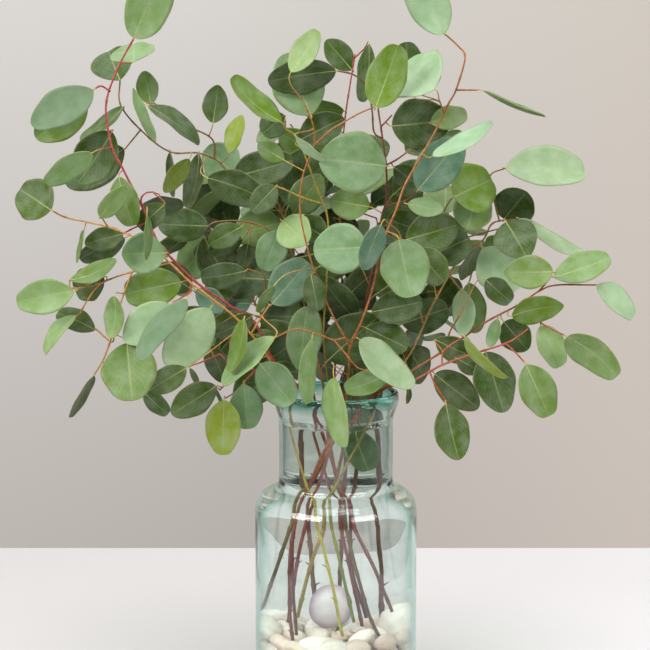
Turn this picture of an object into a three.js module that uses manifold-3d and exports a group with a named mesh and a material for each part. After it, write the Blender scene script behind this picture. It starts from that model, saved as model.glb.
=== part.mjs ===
// A glass jar of silver-dollar eucalyptus branches standing in water over a bed of shells.
// Millimetres, +Z up. The origin is the centre of the jar's flat base, and the front faces -Y.
import * as THREE from 'three';
import { mergeVertices } from 'three/addons/utils/BufferGeometryUtils.js';
import Module from 'manifold-3d';

const wasm = await Module();
wasm.setup();

// The jar: a wide body, a rounded shoulder, a straight neck and a flared rim.
const JAR_HEIGHT = 312;
const BODY_RADIUS = 82;
const FOOT_RADIUS = 74;
const NECK_RADIUS = 57.5;
const RIM_RADIUS = 63;
const WALL = 4;
const FLOOR_THICKNESS = 6;
const SHOULDER_TOP = 226;
const SHOULDER_FOOT = 190;
const RIM_BAND = 20;
const JAR_SIDES = 20;

// The water and what lies in it.
const WATER_LEVEL = 280;
const SEAT_GAP = 0.35;
const HOLE_GAP = 0.45;
const SHELL_GAP = 0.6;
const LEAF_GAP = 0.8;
const BED_HEIGHT = 64;

// The branches: wood thickness, blade thickness and the ways a leaf may give way to another.
const STEM_SIDES = 5;
const TWIG_SIDES = 3;
const TWIG_RADIUS = [1.7, 1.3];
const PETIOLE_RADIUS = 0.95;
const PETIOLE_FLATNESS = 0.7;
const BLADE_THICKNESS = 0.84;
const BLADE_CLEARANCE = 3.2;
const WOOD_CLEARANCE = 2;
const UNION_TOLERANCE = 0.15;
const LAYER_DEPTH = { front: -24, middle: -3, back: 18 };
const GIVE_WAY = [0, -7, 7, -14, 14, -21, 21, -30, 30, -40, 40, -52, 52, -66, 66];
const TWIG_GIVE_WAY = [0, -8, 8, -16, 16, -24, 24, -34, 34];
const LEAF_PROPORTION = 0.62;
const ROUND_PROPORTION = 0.9;
const STEEPEST_ROLL = 0.2;
const TURN_COST = 2.2;

// The branches are drawn on an upright sheet through the jar's axis, as an eye in front sees them.
// A point is [across, up, depth behind the sheet], all in millimetres of the real thing.
const EYE_DISTANCE = 1700;
const EYE_PITCH = THREE.MathUtils.degToRad(7.4);
const SHEET_CENTRE = [-11, 365];
const SHEET_HEIGHT = 378.6;
const LOOK = [0, Math.cos(EYE_PITCH), -Math.sin(EYE_PITCH)];
const RISE = [0, Math.sin(EYE_PITCH), Math.cos(EYE_PITCH)];
const EYE = [SHEET_CENTRE[0], -EYE_DISTANCE * LOOK[1], SHEET_HEIGHT - EYE_DISTANCE * LOOK[2]];

// Each branch has a stem from its cut end up, [across, up, depth], its twigs, which lean by a
// depth from their root to their tip, and its leaves, [base across, base up, tip across, tip up,
// width as seen], in three layers from front to back.
const BRANCHES = [
  {
    name: 'branch_tall_left',
    radius: [2.7, 1.5],
    stem: [
      [50, 80, -36], [33, 122, -29], [10, 180, -18], [-8, 250, -9], [-26, 290, -14],
      [-62, 329, -34], [-80, 365, -50], [-110, 387, -62], [-135, 404, -66], [-155, 422, -66],
      [-178, 448, -62], [-190, 475, -58], [-213, 521, -50], [-224, 543, -46], [-230, 584, -40],
      [-219, 620, -34], [-202, 652, -30],
    ],
    twigs: [
      { lean: -8, path: [[-228, 601], [-235, 604], [-243, 600]] },
      { lean: 6, path: [[-190, 475], [-195, 490], [-190, 497], [-183, 498]] },
      { lean: 12, path: [[-188, 466], [-200, 463], [-210, 458]] },
      { lean: -12, path: [[-147, 412], [-146, 400], [-155, 392], [-163, 388]] },
    ],
    front: [
      [-243, 600, -304, 564, 33], [-171, 437, -212, 436, 42], [-165, 385, -212, 348, 40],
      [-150, 391, -199, 332, 22], [-126, 381, -168, 322, 46], [-155, 408, -211, 396, 40],
      [-213, 456, -251, 446, 24], [-244, 537, -290, 507, 20],
    ],
    middle: [
      [-202, 652, -168, 724, 40], [-249, 588, -300, 552, 38], [-217, 513, -203, 464, 30],
      [-172, 485, -197, 462, 24], [-182, 448, -168, 433, 8], [-189, 475, -190, 430, 5],
    ],
    back: [
      [-203, 628, -203, 645, 46], [-224, 558, -258, 507, 44], [-176, 494, -170, 474, 42],
      [-211, 452, -256, 430, 22],
    ],
  },
  {
    name: 'branch_mid_left',
    radius: [2.6, 1.3],
    stem: [
      [38, 52, -26], [24, 90, -22], [8, 165, -10], [-5, 250, -1], [-12, 300, 4],
      [-26, 360, 14], [-40, 420, 24], [-57, 484, 36], [-74, 498, 42], [-105, 515, 50],
      [-118, 529, 52], [-138, 537, 56], [-165, 538, 60], [-190, 555, 60], [-215, 584, 60],
      [-216, 610, 60],
    ],
    twigs: [
      { lean: -10, path: [[-120, 531], [-124, 551], [-148, 564], [-166, 577], [-182, 587]] },
      { lean: -10, path: [[-195, 559], [-211, 541]] },
      { lean: -16, path: [[-46, 440], [-70, 462], [-97, 469], [-120, 468], [-128, 464]] },
      { lean: -20, path: [[-36, 400], [-55, 408], [-70, 400], [-72, 414], [-88, 421]] },
    ],
    front: [
      [-102, 513, -43, 530, 38], [-100, 516, -130, 542, 40], [-147, 531, -172, 498, 17],
      [-107, 537, -93, 575, 19], [-54, 469, -29, 447, 38], [-57, 459, -72, 420, 32],
      [-64, 386, -28, 428, 42], [-188, 584, -137, 545, 19],
    ],
    middle: [
      [-216, 610, -228, 640, 44], [-213, 583, -256, 550, 18], [-181, 548, -204, 602, 9],
      [-185, 585, -192, 619, 22], [-123, 567, -118, 605, 26], [-112, 502, -146, 470, 13],
      [-137, 536, -149, 482, 21], [-55, 467, -102, 455, 41], [-91, 419, -135, 412, 26],
      [-46, 437, -53, 391, 6], [-95, 463, -126, 446, 26],
    ],
    back: [
      [-212, 541, -272, 508, 45], [-128, 512, -70, 490, 34], [-166, 538, -162, 493, 11],
      [-128, 464, -178, 466, 34], [-94, 452, -127, 437, 20], [-88, 446, -93, 423, 18],
      [-95, 412, -130, 398, 28],
    ],
  },
  {
    name: 'branch_low_right',
    radius: [2.9, 1.4],
    stem: [
      [-38, 40, -46], [-42, 95, -42], [-36, 165, -34], [-8, 245, -30], [18, 275, -30],
      [44, 299, -28], [78, 310, -36], [106, 325, -46], [140, 337, -54], [173, 348, -58],
      [192, 361, -56],
    ],
    twigs: [
      { lean: -10, path: [[94, 318], [100, 304], [112, 286]] },
      { lean: -10, path: [[171, 347], [180, 337], [190, 326]] },
      { lean: 8, path: [[106, 325], [107, 338], [116, 346], [128, 353]] },
    ],
    front: [
      [130, 352, 172, 312, 9], [110, 286, 123, 230, 36], [190, 325, 213, 274, 37],
    ],
    middle: [
      [99, 316, 143, 282, 34], [150, 338, 168, 278, 42], [72, 303, 71, 286, 6],
    ],
    back: [
      [100, 350, 140, 332, 26], [120, 332, 146, 318, 20],
    ],
  },
  {
    name: 'branch_far_right',
    radius: [2.6, 1.3],
    stem: [
      [-34, 58, -34], [-37, 120, -30], [-32, 175, -23], [-2, 250, -20], [24, 283, -18],
      [50, 303, -8], [72, 317, -6], [112, 342, -14], [150, 368, -22], [182, 385, -26],
      [205, 400, -28], [222, 405, -30], [258, 405, -30],
    ],
    twigs: [
      { lean: -8, path: [[203, 398], [210, 407], [216, 417]] },
      { lean: -10, path: [[190, 390], [200, 372], [210, 364], [230, 354]] },
      { lean: -12, path: [[112, 342], [113, 356], [122, 372]] },
    ],
    front: [
      [176, 374, 228, 384, 28], [217, 418, 168, 418, 34], [231, 353, 281, 314, 30],
    ],
    middle: [
      [261, 405, 297, 372, 25], [218, 413, 274, 433, 30], [205, 364, 224, 323, 28],
      [162, 371, 153, 343, 12], [126, 400, 127, 354, 22],
    ],
    back: [
      [168, 368, 192, 340, 32], [150, 410, 175, 388, 24], [66, 366, 112, 382, 36],
    ],
  },
  {
    name: 'branch_centre_pink',
    radius: [2.3, 1.3],
    stem: [
      [-36, 70, 0], [-26, 150, 4], [-12, 210, 8], [-5, 250, 9], [0, 350, 30],
      [2, 420, 44], [5, 490, 50], [8, 562, 50], [19, 636, 44],
    ],
    twigs: [
      { lean: -6, path: [[19, 632], [27, 640]] },
      { lean: 4, path: [[7, 490], [24, 478], [40, 472]] },
      { lean: 18, path: [[2, 420], [20, 428], [44, 440]] },
    ],
    front: [
      [33, 646, 27, 588, 18],
    ],
    middle: [
      [8, 579, -47, 588, 17],
    ],
    back: [
      [45, 462, 80, 478, 44], [-2, 470, 20, 440, 30], [16, 620, -10, 650, 26],
    ],
  },
  {
    name: 'branch_centre_orange',
    radius: [2.5, 1.4],
    stem: [
      [-27, 79, 12], [-17, 135, 12], [-6, 180, 14], [7, 260, 13], [13, 320, -8], [14, 343, -18],
      [26, 370, -30], [36, 400, -40], [46, 445, -50], [60, 480, -52], [68, 503, -50],
      [80, 525, -46], [100, 560, -40], [113, 587, -36], [120, 600, -34], [129, 632, -30],
      [122, 644, -28], [109, 656, -26],
    ],
    twigs: [
      {
        lean: -26,
        path: [
          [14, 343], [-6, 380], [-18, 410], [-28, 440], [-36, 480], [-33, 515], [-22, 545],
          [-23, 565], [-30, 583],
        ],
      },
      { lean: -38, path: [[14, 345], [9, 352], [-2, 350], [-16, 355], [-39, 361], [-62, 352]] },
      { lean: -12, path: [[-2, 350], [9, 337], [21, 323], [29, 320]] },
      { lean: -14, path: [[-22, 545], [-5, 560], [8, 568], [22, 576], [38, 583]] },
      { lean: -14, path: [[120, 600], [140, 600]] },
      { lean: -12, path: [[107, 576], [104, 588]] },
      { lean: -10, path: [[39, 425], [38, 432]] },
    ],
    front: [
      [24, 350, 77, 303, 32], [31, 443, -22, 440, 52], [63, 450, 76, 393, 50],
      [99, 601, 67, 622, 64], [97, 534, 157, 567, 19], [-45, 618, -19, 660, 27],
      [-24, 351, -27, 286, 18], [40, 583, 62, 645, 40], [148, 599, 209, 573, 6],
      [-2, 312, 9, 243, 24], [45, 465, 28, 420, 24],
    ],
    middle: [
      [108, 656, 70, 722, 38], [-25, 575, -52, 636, 52], [-40, 553, -11, 530, 8],
      [-28, 384, -34, 318, 36], [52, 316, 9, 300, 24], [-25, 415, -18, 379, 24],
      [80, 440, 108, 408, 34], [-10, 284, -43, 280, 18], [-38, 549, 8, 572, 34],
    ],
    back: [
      [75, 600, 70, 648, 34], [85, 600, 104, 618, 16], [95, 568, 131, 576, 24],
      [36, 378, 86, 388, 34], [30, 362, 72, 342, 34], [-52, 530, -78, 546, 20],
    ],
  },
  {
    name: 'branch_front_yellow',
    radius: [2.4, 1.3],
    stem: [
      [6, 55, -62], [-5, 115, -49], [-20, 180, -41], [-33, 225, -33], [-42, 265, -20],
      [-45, 290, -21], [-47, 304, -22], [-60, 320, -44], [-76, 345, -64], [-100, 372, -78],
      [-125, 392, -86], [-146, 408, -88], [-166, 427, -84], [-190, 447, -74], [-228, 463, -60],
      [-268, 472, -46], [-285, 480, -40],
    ],
    twigs: [
      { lean: 16, path: [[-166, 425], [-204, 418], [-225, 411], [-240, 402], [-258, 374]] },
      { lean: -6, path: [[-204, 418], [-212, 397], [-216, 384]] },
      { lean: 8, path: [[-225, 411], [-246, 404], [-265, 402], [-266, 410]] },
      { lean: -10, path: [[-228, 463], [-234, 472]] },
      { lean: -8, path: [[-84, 356], [-74, 374], [-66, 386]] },
      { lean: 10, path: [[-216, 384], [-222, 360], [-224, 348], [-240, 361]] },
      { lean: 4, path: [[-222, 360], [-232, 332], [-242, 315]] },
    ],
    front: [
      [-285, 480, -318, 502, 44], [-262, 399, -319, 388, 35], [-209, 347, -204, 293, 56],
      [-61, 353, -113, 305, 24], [-76, 326, -44, 286, 38], [-92, 370, -106, 318, 18],
      [-150, 322, -186, 300, 26],
    ],
    middle: [
      [-236, 473, -209, 503, 18], [-252, 460, -259, 427, 7], [-266, 410, -220, 431, 20],
      [-260, 374, -292, 337, 17], [-242, 314, -265, 272, 6], [-222, 394, -224, 352, 22],
      [-84, 374, -122, 355, 22],
    ],
    back: [
      [-232, 413, -262, 398, 34], [-251, 417, -234, 399, 8], [-241, 360, -279, 377, 22],
      [-192, 298, -168, 276, 18], [-140, 400, -112, 380, 24],
    ],
  },
  {
    name: 'branch_right',
    radius: [2.5, 1.4],
    stem: [
      [16, 70, -50], [6, 118, -47], [-6, 180, -43], [0, 205, -42], [22, 250, -38],
      [32, 270, -32], [46, 300, -18], [75, 338, -2], [95, 382, 14], [115, 418, 26],
      [127, 437, 32], [147, 450, 40], [157, 467, 42], [180, 471, 46],
    ],
    twigs: [
      { lean: -10, path: [[113, 416], [109, 440], [108, 475], [113, 488], [118, 494]] },
      { lean: 8, path: [[113, 416], [126, 400], [133, 408], [137, 422]] },
      { lean: -8, path: [[127, 437], [130, 452], [131, 460]] },
      { lean: -12, path: [[165, 469], [158, 490], [154, 514], [170, 522]] },
      { lean: -16, path: [[86, 366], [78, 400], [66, 425], [64, 455], [54, 466]] },
    ],
    front: [
      [118, 493, 158, 512, 54], [170, 522, 249, 519, 43], [184, 471, 248, 433, 19],
      [147, 442, 178, 398, 46],
    ],
    middle: [
      [131, 460, 143, 500, 40], [150, 440, 168, 452, 20], [98, 435, 133, 452, 38],
      [133, 407, 140, 357, 30], [70, 450, 121, 465, 42],
    ],
    back: [
      [168, 471, 190, 497, 42], [170, 468, 190, 434, 44], [112, 468, 128, 462, 14],
    ],
  },
  {
    name: 'branch_centre_dark',
    radius: [2.5, 1.4],
    stem: [
      [20, 80, 24], [10, 140, 19], [14, 240, 24], [20, 330, 28], [28, 380, 28],
      [36, 420, 20], [45, 470, 8], [50, 490, 2], [50, 525, -6], [42, 582, -12],
    ],
    twigs: [
      { lean: -4, path: [[47, 564], [56, 575]] },
      { lean: -12, path: [[48, 553], [38, 558], [36, 580], [31, 603], [18, 615], [2, 619]] },
      { lean: -14, path: [[51, 484], [62, 487], [72, 491], [82, 500]] },
      { lean: -12, path: [[51, 524], [60, 530], [70, 537]] },
    ],
    front: [
      [50, 524, -17, 531, 62], [82, 500, 124, 550, 44], [0, 619, -68, 608, 32],
      [72, 486, 107, 480, 20],
    ],
    middle: [
      [56, 564, 113, 570, 50], [70, 538, 98, 560, 34], [58, 523, 82, 505, 22],
    ],
    back: [
      [50, 505, 88, 495, 40], [100, 548, 126, 558, 14], [14, 262, 24, 222, 24],
    ],
  },
  {
    name: 'branch_centre_yellow',
    radius: [2.4, 1.3],
    stem: [
      [-60, 78, 20], [-50, 88, 20], [-40, 128, 20], [-25, 190, 19], [-5, 250, 18],
      [-12, 350, 18], [-10, 400, 4], [-8, 468, -14], [-20, 505, -22], [-38, 550, -28],
      [-52, 562, -30],
    ],
    twigs: [
      { lean: -6, path: [[-17, 486], [-32, 492], [-50, 500], [-60, 504]] },
    ],
    front: [
      [-55, 568, -105, 612, 24],
    ],
    middle: [
      [-52, 575, -74, 556, 28], [-62, 404, -79, 378, 9], [-55, 418, -60, 388, 8],
    ],
    back: [
      [-60, 504, -84, 478, 26], [-10, 452, -38, 470, 30],
    ],
  },
  {
    name: 'branch_low_left',
    radius: [2.4, 1.3],
    stem: [
      [20, 60, 6], [8, 140, 5], [-8, 220, 2], [-28, 302, 2], [-42, 312, 2],
      [-80, 320, -6], [-104, 326, -6], [-116, 336, -4],
    ],
    twigs: [
      { lean: -8, path: [[-104, 326], [-108, 310], [-116, 300]] },
      { lean: -14, path: [[-80, 320], [-90, 310], [-98, 300], [-110, 292]] },
      { lean: 10, path: [[-116, 336], [-134, 328], [-146, 324]] },
      { lean: 6, path: [[-104, 326], [-106, 346], [-100, 362], [-92, 374]] },
    ],
    front: [
      [-92, 306, -88, 261, 34], [-112, 290, -113, 235, 36],
    ],
    middle: [
      [-120, 304, -165, 276, 32], [-128, 346, -112, 308, 24], [-36, 318, -72, 320, 22],
      [-122, 304, -111, 278, 5], [-98, 376, -126, 356, 22],
    ],
    back: [
      [-54, 284, -88, 259, 26], [-146, 322, -138, 304, 7], [-80, 355, -58, 350, 16],
      [-30, 304, -56, 298, 18],
    ],
  },
  {
    name: 'branch_rear_left',
    radius: [2.5, 1.4],
    stem: [
      [-10, 60, 36], [-18, 180, 38], [-20, 250, 38], [-24, 300, 36],
      [-58, 350, 76], [-88, 400, 104], [-104, 450, 120], [-110, 504, 126], [-104, 548, 124],
    ],
    twigs: [
      { lean: 26, path: [[-70, 370], [-104, 382], [-136, 392]] },
      { lean: 30, path: [[-88, 400], [-66, 430], [-56, 462]] },
      { lean: -30, path: [[-104, 450], [-138, 462], [-164, 482]] },
    ],
    front: [],
    middle: [],
    back: [],
  },
  {
    name: 'branch_rear_middle',
    radius: [2.5, 1.4],
    stem: [
      [0, 50, 50], [4, 180, 42], [6, 250, 40], [8, 300, 40],
      [10, 350, 84], [6, 410, 112], [0, 470, 126], [2, 530, 122], [6, 580, 112],
    ],
    twigs: [
      { lean: 34, path: [[10, 350], [-20, 366], [-44, 372]] },
      { lean: 26, path: [[8, 390], [36, 410], [60, 424]] },
      { lean: -12, path: [[2, 520], [-24, 540], [-46, 566]] },
    ],
    front: [],
    middle: [],
    back: [],
  },
  {
    name: 'branch_rear_right',
    radius: [2.5, 1.4],
    stem: [
      [30, 60, 36], [26, 180, 33], [24, 250, 34], [26, 300, 36],
      [62, 345, 74], [92, 395, 98], [108, 445, 112], [114, 490, 114], [126, 530, 104],
    ],
    twigs: [
      { lean: 24, path: [[78, 372], [110, 378], [142, 392]] },
      { lean: 30, path: [[92, 395], [78, 430], [66, 468]] },
      { lean: -24, path: [[108, 445], [136, 454], [166, 462]] },
    ],
    front: [],
    middle: [],
    back: [],
  },
];

// Leaves that the front view doesn't show sit by rule along the wood inside this round crown.
const CROWN = { across: [-8, 165], up: [436, 118], behind: [34, 178] };
const CROWN_LEAF = { spacing: 28, length: [44, 62], width: [0.66, 0.86], reach: [8, 16] };
const CROWN_TRIES = 10;

// Vector sums on plain [x, y, z] lists.
const add = (a, b) => [a[0] + b[0], a[1] + b[1], a[2] + b[2]];
const minus = (a, b) => [a[0] - b[0], a[1] - b[1], a[2] - b[2]];
const times = (a, k) => [a[0] * k, a[1] * k, a[2] * k];
const dot = (a, b) => a[0] * b[0] + a[1] * b[1] + a[2] * b[2];
const size = (a) => Math.sqrt(dot(a, a));
const unit = (a) => times(a, 1 / size(a));

function cross(a, b) {
  return [
    a[1] * b[2] - a[2] * b[1],
    a[2] * b[0] - a[0] * b[2],
    a[0] * b[1] - a[1] * b[0],
  ];
}

function mix(a, b, t) {
  return add(times(a, 1 - t), times(b, t));
}

// A repeatable run of draws from 0 to 1.
function seeded(seed) {
  let state = seed;
  return () => {
    state = (state + 0x6d2b79f5) | 0;
    let t = Math.imul(state ^ (state >>> 15), 1 | state);
    t = (t + Math.imul(t ^ (t >>> 7), 61 | t)) ^ t;
    return ((t ^ (t >>> 14)) >>> 0) / 4294967296;
  };
}

// The place in space of a point drawn on the sheet, at its depth behind it.
function sighted([across, up, depth]) {
  const ray = add(times(LOOK, EYE_DISTANCE), times(RISE, up - SHEET_CENTRE[1]));
  ray[0] += across - SHEET_CENTRE[0];
  return add(EYE, times(ray, (depth - EYE[1]) / ray[1]));
}

// Where the eye sees a place in space, on the sheet.
function seen(place) {
  const line = minus(place, EYE);
  const scale = EYE_DISTANCE / dot(line, LOOK);
  return [SHEET_CENTRE[0] + line[0] * scale, SHEET_CENTRE[1] + dot(line, RISE) * scale];
}

// Beads along a limb, about two radii apart, that other pieces keep clear of.
function beads(points, from, to, owner) {
  const list = [];
  const spans = points.length - 1;
  for (let i = 0; i < spans; i += 1) {
    const steps = Math.max(1, Math.ceil(size(minus(points[i + 1], points[i])) / 4));
    for (let k = 0; k < steps; k += 1) {
      const t = (i + k / steps) / spans;
      list.push({
        place: mix(points[i], points[i + 1], k / steps),
        radius: from + (to - from) * t,
        owner,
      });
    }
  }
  list.push({ place: points[spans], radius: to, owner });
  return list;
}

// The glass of the neck, rim and shoulder, which leaves and twigs keep off.
function nearGlass(place, margin) {
  const out = Math.hypot(place[0], place[1]);
  if (place[2] > JAR_HEIGHT + margin) return false;
  if (place[2] > SHOULDER_TOP) return out > NECK_RADIUS - WALL - margin && out < RIM_RADIUS + margin;
  return out > NECK_RADIUS - WALL - margin && out < BODY_RADIUS + margin;
}

// How far each place along and across a blade stands off its flat plane.
function lift(leaf, along, across) {
  return leaf.arch * 4 * along * (1 - along) + leaf.cup * across * across;
}

// Half the blade's width at a place along it, from the base (0) to the tip (1).
function halfWidth(leaf, along) {
  const swell = Math.sin(Math.PI * Math.pow(along, leaf.lean));
  return 0.5 * leaf.width * Math.pow(Math.max(swell, 0), leaf.blunt);
}

// A place on the blade, along 0 to 1 and across -1 to 1.
function onBlade(leaf, along, across) {
  const out = times(leaf.side, across * halfWidth(leaf, along));
  const up = times(leaf.normal, lift(leaf, along, across));
  return add(add(add(leaf.base, times(leaf.axis, along * leaf.length)), out), up);
}

// True where a bead is nearer to the blade than the clearance.
function touchesBlade(leaf, place, clearance) {
  const line = minus(place, leaf.base);
  const along = dot(line, leaf.axis) / leaf.length;
  if (along < -clearance / leaf.length || along > 1 + clearance / leaf.length) return false;
  const held = Math.min(Math.max(along, 0.02), 0.98);
  const half = halfWidth(leaf, held) + clearance;
  const out = dot(line, leaf.side);
  if (Math.abs(out) > half) return false;
  return Math.abs(dot(line, leaf.normal) - lift(leaf, held, out / half)) < clearance;
}

const ALONG_PROBES = [0.08, 0.22, 0.36, 0.5, 0.64, 0.78, 0.9, 1];
const ACROSS_PROBES = [-1, -0.5, 0, 0.5, 1];

function probesOf(leaf) {
  const probes = [];
  for (const along of ALONG_PROBES) {
    for (const across of ACROSS_PROBES) {
      probes.push(onBlade(leaf, along, across));
    }
  }
  return probes;
}

// True where a leaf with its petiole stands clear of all the wood and blades placed so far.
function standsClear(leaf, wood, leaves) {
  const reach = leaf.length * 0.5 + 4;
  for (const probe of leaf.probes) {
    if (nearGlass(probe, 2)) return false;
  }
  for (const bead of leaf.stalk) {
    if (nearGlass(bead.place, 2)) return false;
  }
  for (const bead of wood) {
    const span = size(minus(bead.place, leaf.middle));
    if (span < reach + WOOD_CLEARANCE) {
      if (touchesBlade(leaf, bead.place, bead.radius + WOOD_CLEARANCE)) return false;
    }
    if (bead.owner === leaf.owner) continue;
    for (const own of leaf.stalk) {
      if (size(minus(bead.place, own.place)) < bead.radius + own.radius + WOOD_CLEARANCE) return false;
    }
  }
  for (const other of leaves) {
    const span = size(minus(other.middle, leaf.middle));
    const both = reach + other.length * 0.5 + 4;
    if (span < both) {
      if (other.probes.some((probe) => touchesBlade(leaf, probe, BLADE_CLEARANCE))) return false;
      if (leaf.probes.some((probe) => touchesBlade(other, probe, BLADE_CLEARANCE))) return false;
    }
    for (const own of leaf.stalk) {
      if (touchesBlade(other, own.place, own.radius + WOOD_CLEARANCE)) return false;
    }
    for (const bead of other.stalk) {
      if (touchesBlade(leaf, bead.place, bead.radius + WOOD_CLEARANCE)) return false;
      if (other.owner === leaf.owner) continue;
      for (const own of leaf.stalk) {
        const gap = bead.radius + own.radius + WOOD_CLEARANCE;
        if (size(minus(bead.place, own.place)) < gap) return false;
      }
    }
  }
  return true;
}

// The bead of a branch's own wood that a point drawn on the sheet lies nearest to. A leaf also
// looks for wood behind its base, so that its petiole runs on into the blade.
function nearestBead(own, across, up, way = null) {
  let best = own[0];
  let least = Infinity;
  for (const bead of own) {
    const [u, w] = seen(bead.place);
    const line = [across - u, up - w];
    const gap = Math.sqrt(line[0] * line[0] + line[1] * line[1]);
    let cost = gap;
    if (way !== null) {
      const run = Math.sqrt(way[0] * way[0] + way[1] * way[1]);
      const turn = (line[0] * way[0] + line[1] * way[1]) / (run * Math.max(gap, 1));
      cost = gap * (TURN_COST - turn);
    }
    if (cost < least) {
      least = cost;
      best = bead;
    }
  }
  return best;
}

// A leaf from its base, tip direction, roll and draws, with its petiole from the wood.
function leafAt(root, base, reach, across, length, width, draws, owner) {
  const axis = unit(reach);
  const side = unit(minus(across, times(axis, dot(across, axis))));
  const leaf = {
    owner,
    base,
    axis,
    side,
    normal: cross(axis, side),
    length,
    width,
    arch: draws.arch * length,
    cup: draws.cup * width,
    lean: draws.lean,
    blunt: draws.blunt,
  };
  leaf.middle = add(base, times(axis, length * 0.5));
  leaf.probes = probesOf(leaf);
  leaf.root = root;
  const start = mix(root.place, base, 0.15);
  leaf.stalk = beads([start, base], PETIOLE_RADIUS, PETIOLE_RADIUS, owner);
  return leaf;
}

function drawLeaf(draw) {
  return {
    arch: (0.02 + 0.07 * draw()) * (draw() < 0.7 ? -1 : 1),
    cup: 0.03 + 0.08 * draw(),
    lean: 0.82 + 0.22 * draw(),
    blunt: 0.56 + 0.16 * draw(),
    roll: draw() < 0.5 ? -1 : 1,
    slope: draw() < 0.6 ? -1 : 1,
  };
}

// A leaf drawn on the sheet, turned and tilted so that it shows the width and length drawn.
function drawnLeaf(row, depth, roll, slope, own, draws, owner) {
  const [across, up, tipAcross, tipUp, seenWidth] = row;
  const root = nearestBead(own, across, up, [tipAcross - across, tipUp - up]);
  const base = sighted([across, up, root.place[1] + depth]);
  const flatTip = sighted([tipAcross, tipUp, base[1]]);
  const scale = size(minus(base, EYE)) / EYE_DISTANCE;
  const shownWidth = seenWidth * scale;
  const shownLength = size(minus(flatTip, base));
  const length = Math.max(shownLength, shownWidth / ROUND_PROPORTION);
  const fall = Math.sqrt(Math.max(length * length - shownLength * shownLength, 0));
  const tip = sighted([tipAcross, tipUp, base[1] + slope * fall]);
  const width = Math.max(shownWidth, LEAF_PROPORTION * length);
  const face = Math.max(shownWidth / width, STEEPEST_ROLL);
  const axis = unit(minus(tip, base));
  const level = unit(cross(axis, LOOK));
  const toward = cross(axis, level);
  const turned = Math.sqrt(1 - face * face) * roll;
  const side = add(times(level, face), times(toward, turned));
  return leafAt(root, base, axis, side, length, width, draws, owner);
}

// A leaf that no drawing shows, growing outward from a bead of the wood.
function hiddenLeaf(root, owner, draw) {
  const draws = drawLeaf(draw);
  const heart = [CROWN.across[0], -20, CROWN.up[0] - 60];
  const outward = unit(minus(root.place, heart));
  const stray = [draw() * 2 - 1, draw() * 2 - 0.7, draw() * 2 - 1.1];
  const way = unit(add(times(outward, 0.7), times(stray, 0.8)));
  const length = CROWN_LEAF.length[0] + (CROWN_LEAF.length[1] - CROWN_LEAF.length[0]) * draw();
  const share = CROWN_LEAF.width[0] + (CROWN_LEAF.width[1] - CROWN_LEAF.width[0]) * draw();
  const petiole = CROWN_LEAF.reach[0] + (CROWN_LEAF.reach[1] - CROWN_LEAF.reach[0]) * draw();
  const base = add(root.place, times(way, petiole + root.radius));
  const across = unit([draw() * 2 - 1, draw() * 2 - 1, draw() - 0.5]);
  return leafAt(root, base, add(way, [0, 0, -0.3]), across, length, length * share, draws, owner);
}

function insideCrown(place) {
  const [u, w] = seen(place);
  const x = (u - CROWN.across[0]) / CROWN.across[1];
  const z = (w - CROWN.up[0]) / CROWN.up[1];
  return x * x + z * z < 1 && place[1] > CROWN.behind[0] && place[1] < CROWN.behind[1];
}

// A branch's stem and twigs as limbs in space, each clear of the branches set out before it.
function setOutWood(branch, wood) {
  const stem = branch.stem.map(sighted);
  const own = beads(stem, branch.radius[0], branch.radius[1], branch.name);
  const limbs = [{ points: stem, radius: branch.radius, sides: STEM_SIDES }];
  wood.push(...own);
  for (const twig of branch.twigs) {
    const root = nearestBead(own, ...twig.path[0]);
    const steps = twig.path.length - 1;
    let best = null;
    for (const give of TWIG_GIVE_WAY) {
      const points = twig.path.slice(1).map(([across, up], i) => {
        const depth = root.place[1] + ((twig.lean + give) * (i + 1)) / steps;
        return sighted([across, up, depth]);
      });
      points.unshift(root.place);
      const line = beads(points, ...TWIG_RADIUS, branch.name);
      const clear = line.every((bead) => wood.every((other) => (
        other.owner === branch.name
        || size(minus(bead.place, other.place)) > bead.radius + other.radius + WOOD_CLEARANCE
      )));
      if (clear || best === null) best = { points, line };
      if (clear) break;
    }
    limbs.push({ points: best.points, radius: TWIG_RADIUS, sides: TWIG_SIDES });
    own.push(...best.line);
    wood.push(...best.line);
  }
  return { name: branch.name, limbs, own, leaves: [] };
}

// Every branch in space: the wood first, then the leaves drawn, then the hidden ones.
function setOutBranches(branches) {
  const draw = seeded(41);
  const wood = [];
  const grown = branches.map((branch) => setOutWood(branch, wood));
  const leaves = [];
  for (const layer of ['front', 'middle', 'back']) {
    branches.forEach((branch, i) => {
      for (const row of branch[layer]) {
        const draws = drawLeaf(draw);
        const leaf = firstClear(row, LAYER_DEPTH[layer], grown[i], draws, wood, leaves);
        if (leaf === null) continue;
        grown[i].leaves.push(leaf);
        leaves.push(leaf);
      }
    });
  }
  for (const branch of grown) {
    const roots = branch.own.filter((bead) => insideCrown(bead.place));
    for (let i = 0; i < roots.length; i += Math.round(CROWN_LEAF.spacing / 4)) {
      for (let k = 0; k < CROWN_TRIES; k += 1) {
        const leaf = hiddenLeaf(roots[i], branch.name, draw);
        if (!insideCrown(leaf.middle) || !standsClear(leaf, wood, leaves)) continue;
        branch.leaves.push(leaf);
        leaves.push(leaf);
        break;
      }
    }
  }
  return grown;
}

function firstClear(row, depth, branch, draws, wood, leaves) {
  for (const give of GIVE_WAY) {
    for (const [roll, slope] of [[1, 1], [-1, 1], [1, -1], [-1, -1]]) {
      const leaf = drawnLeaf(
        row, depth + give, roll * draws.roll, slope * draws.slope, branch.own, draws, branch.name,
      );
      if (standsClear(leaf, wood, leaves)) return leaf;
    }
  }
  return null;
}

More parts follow.
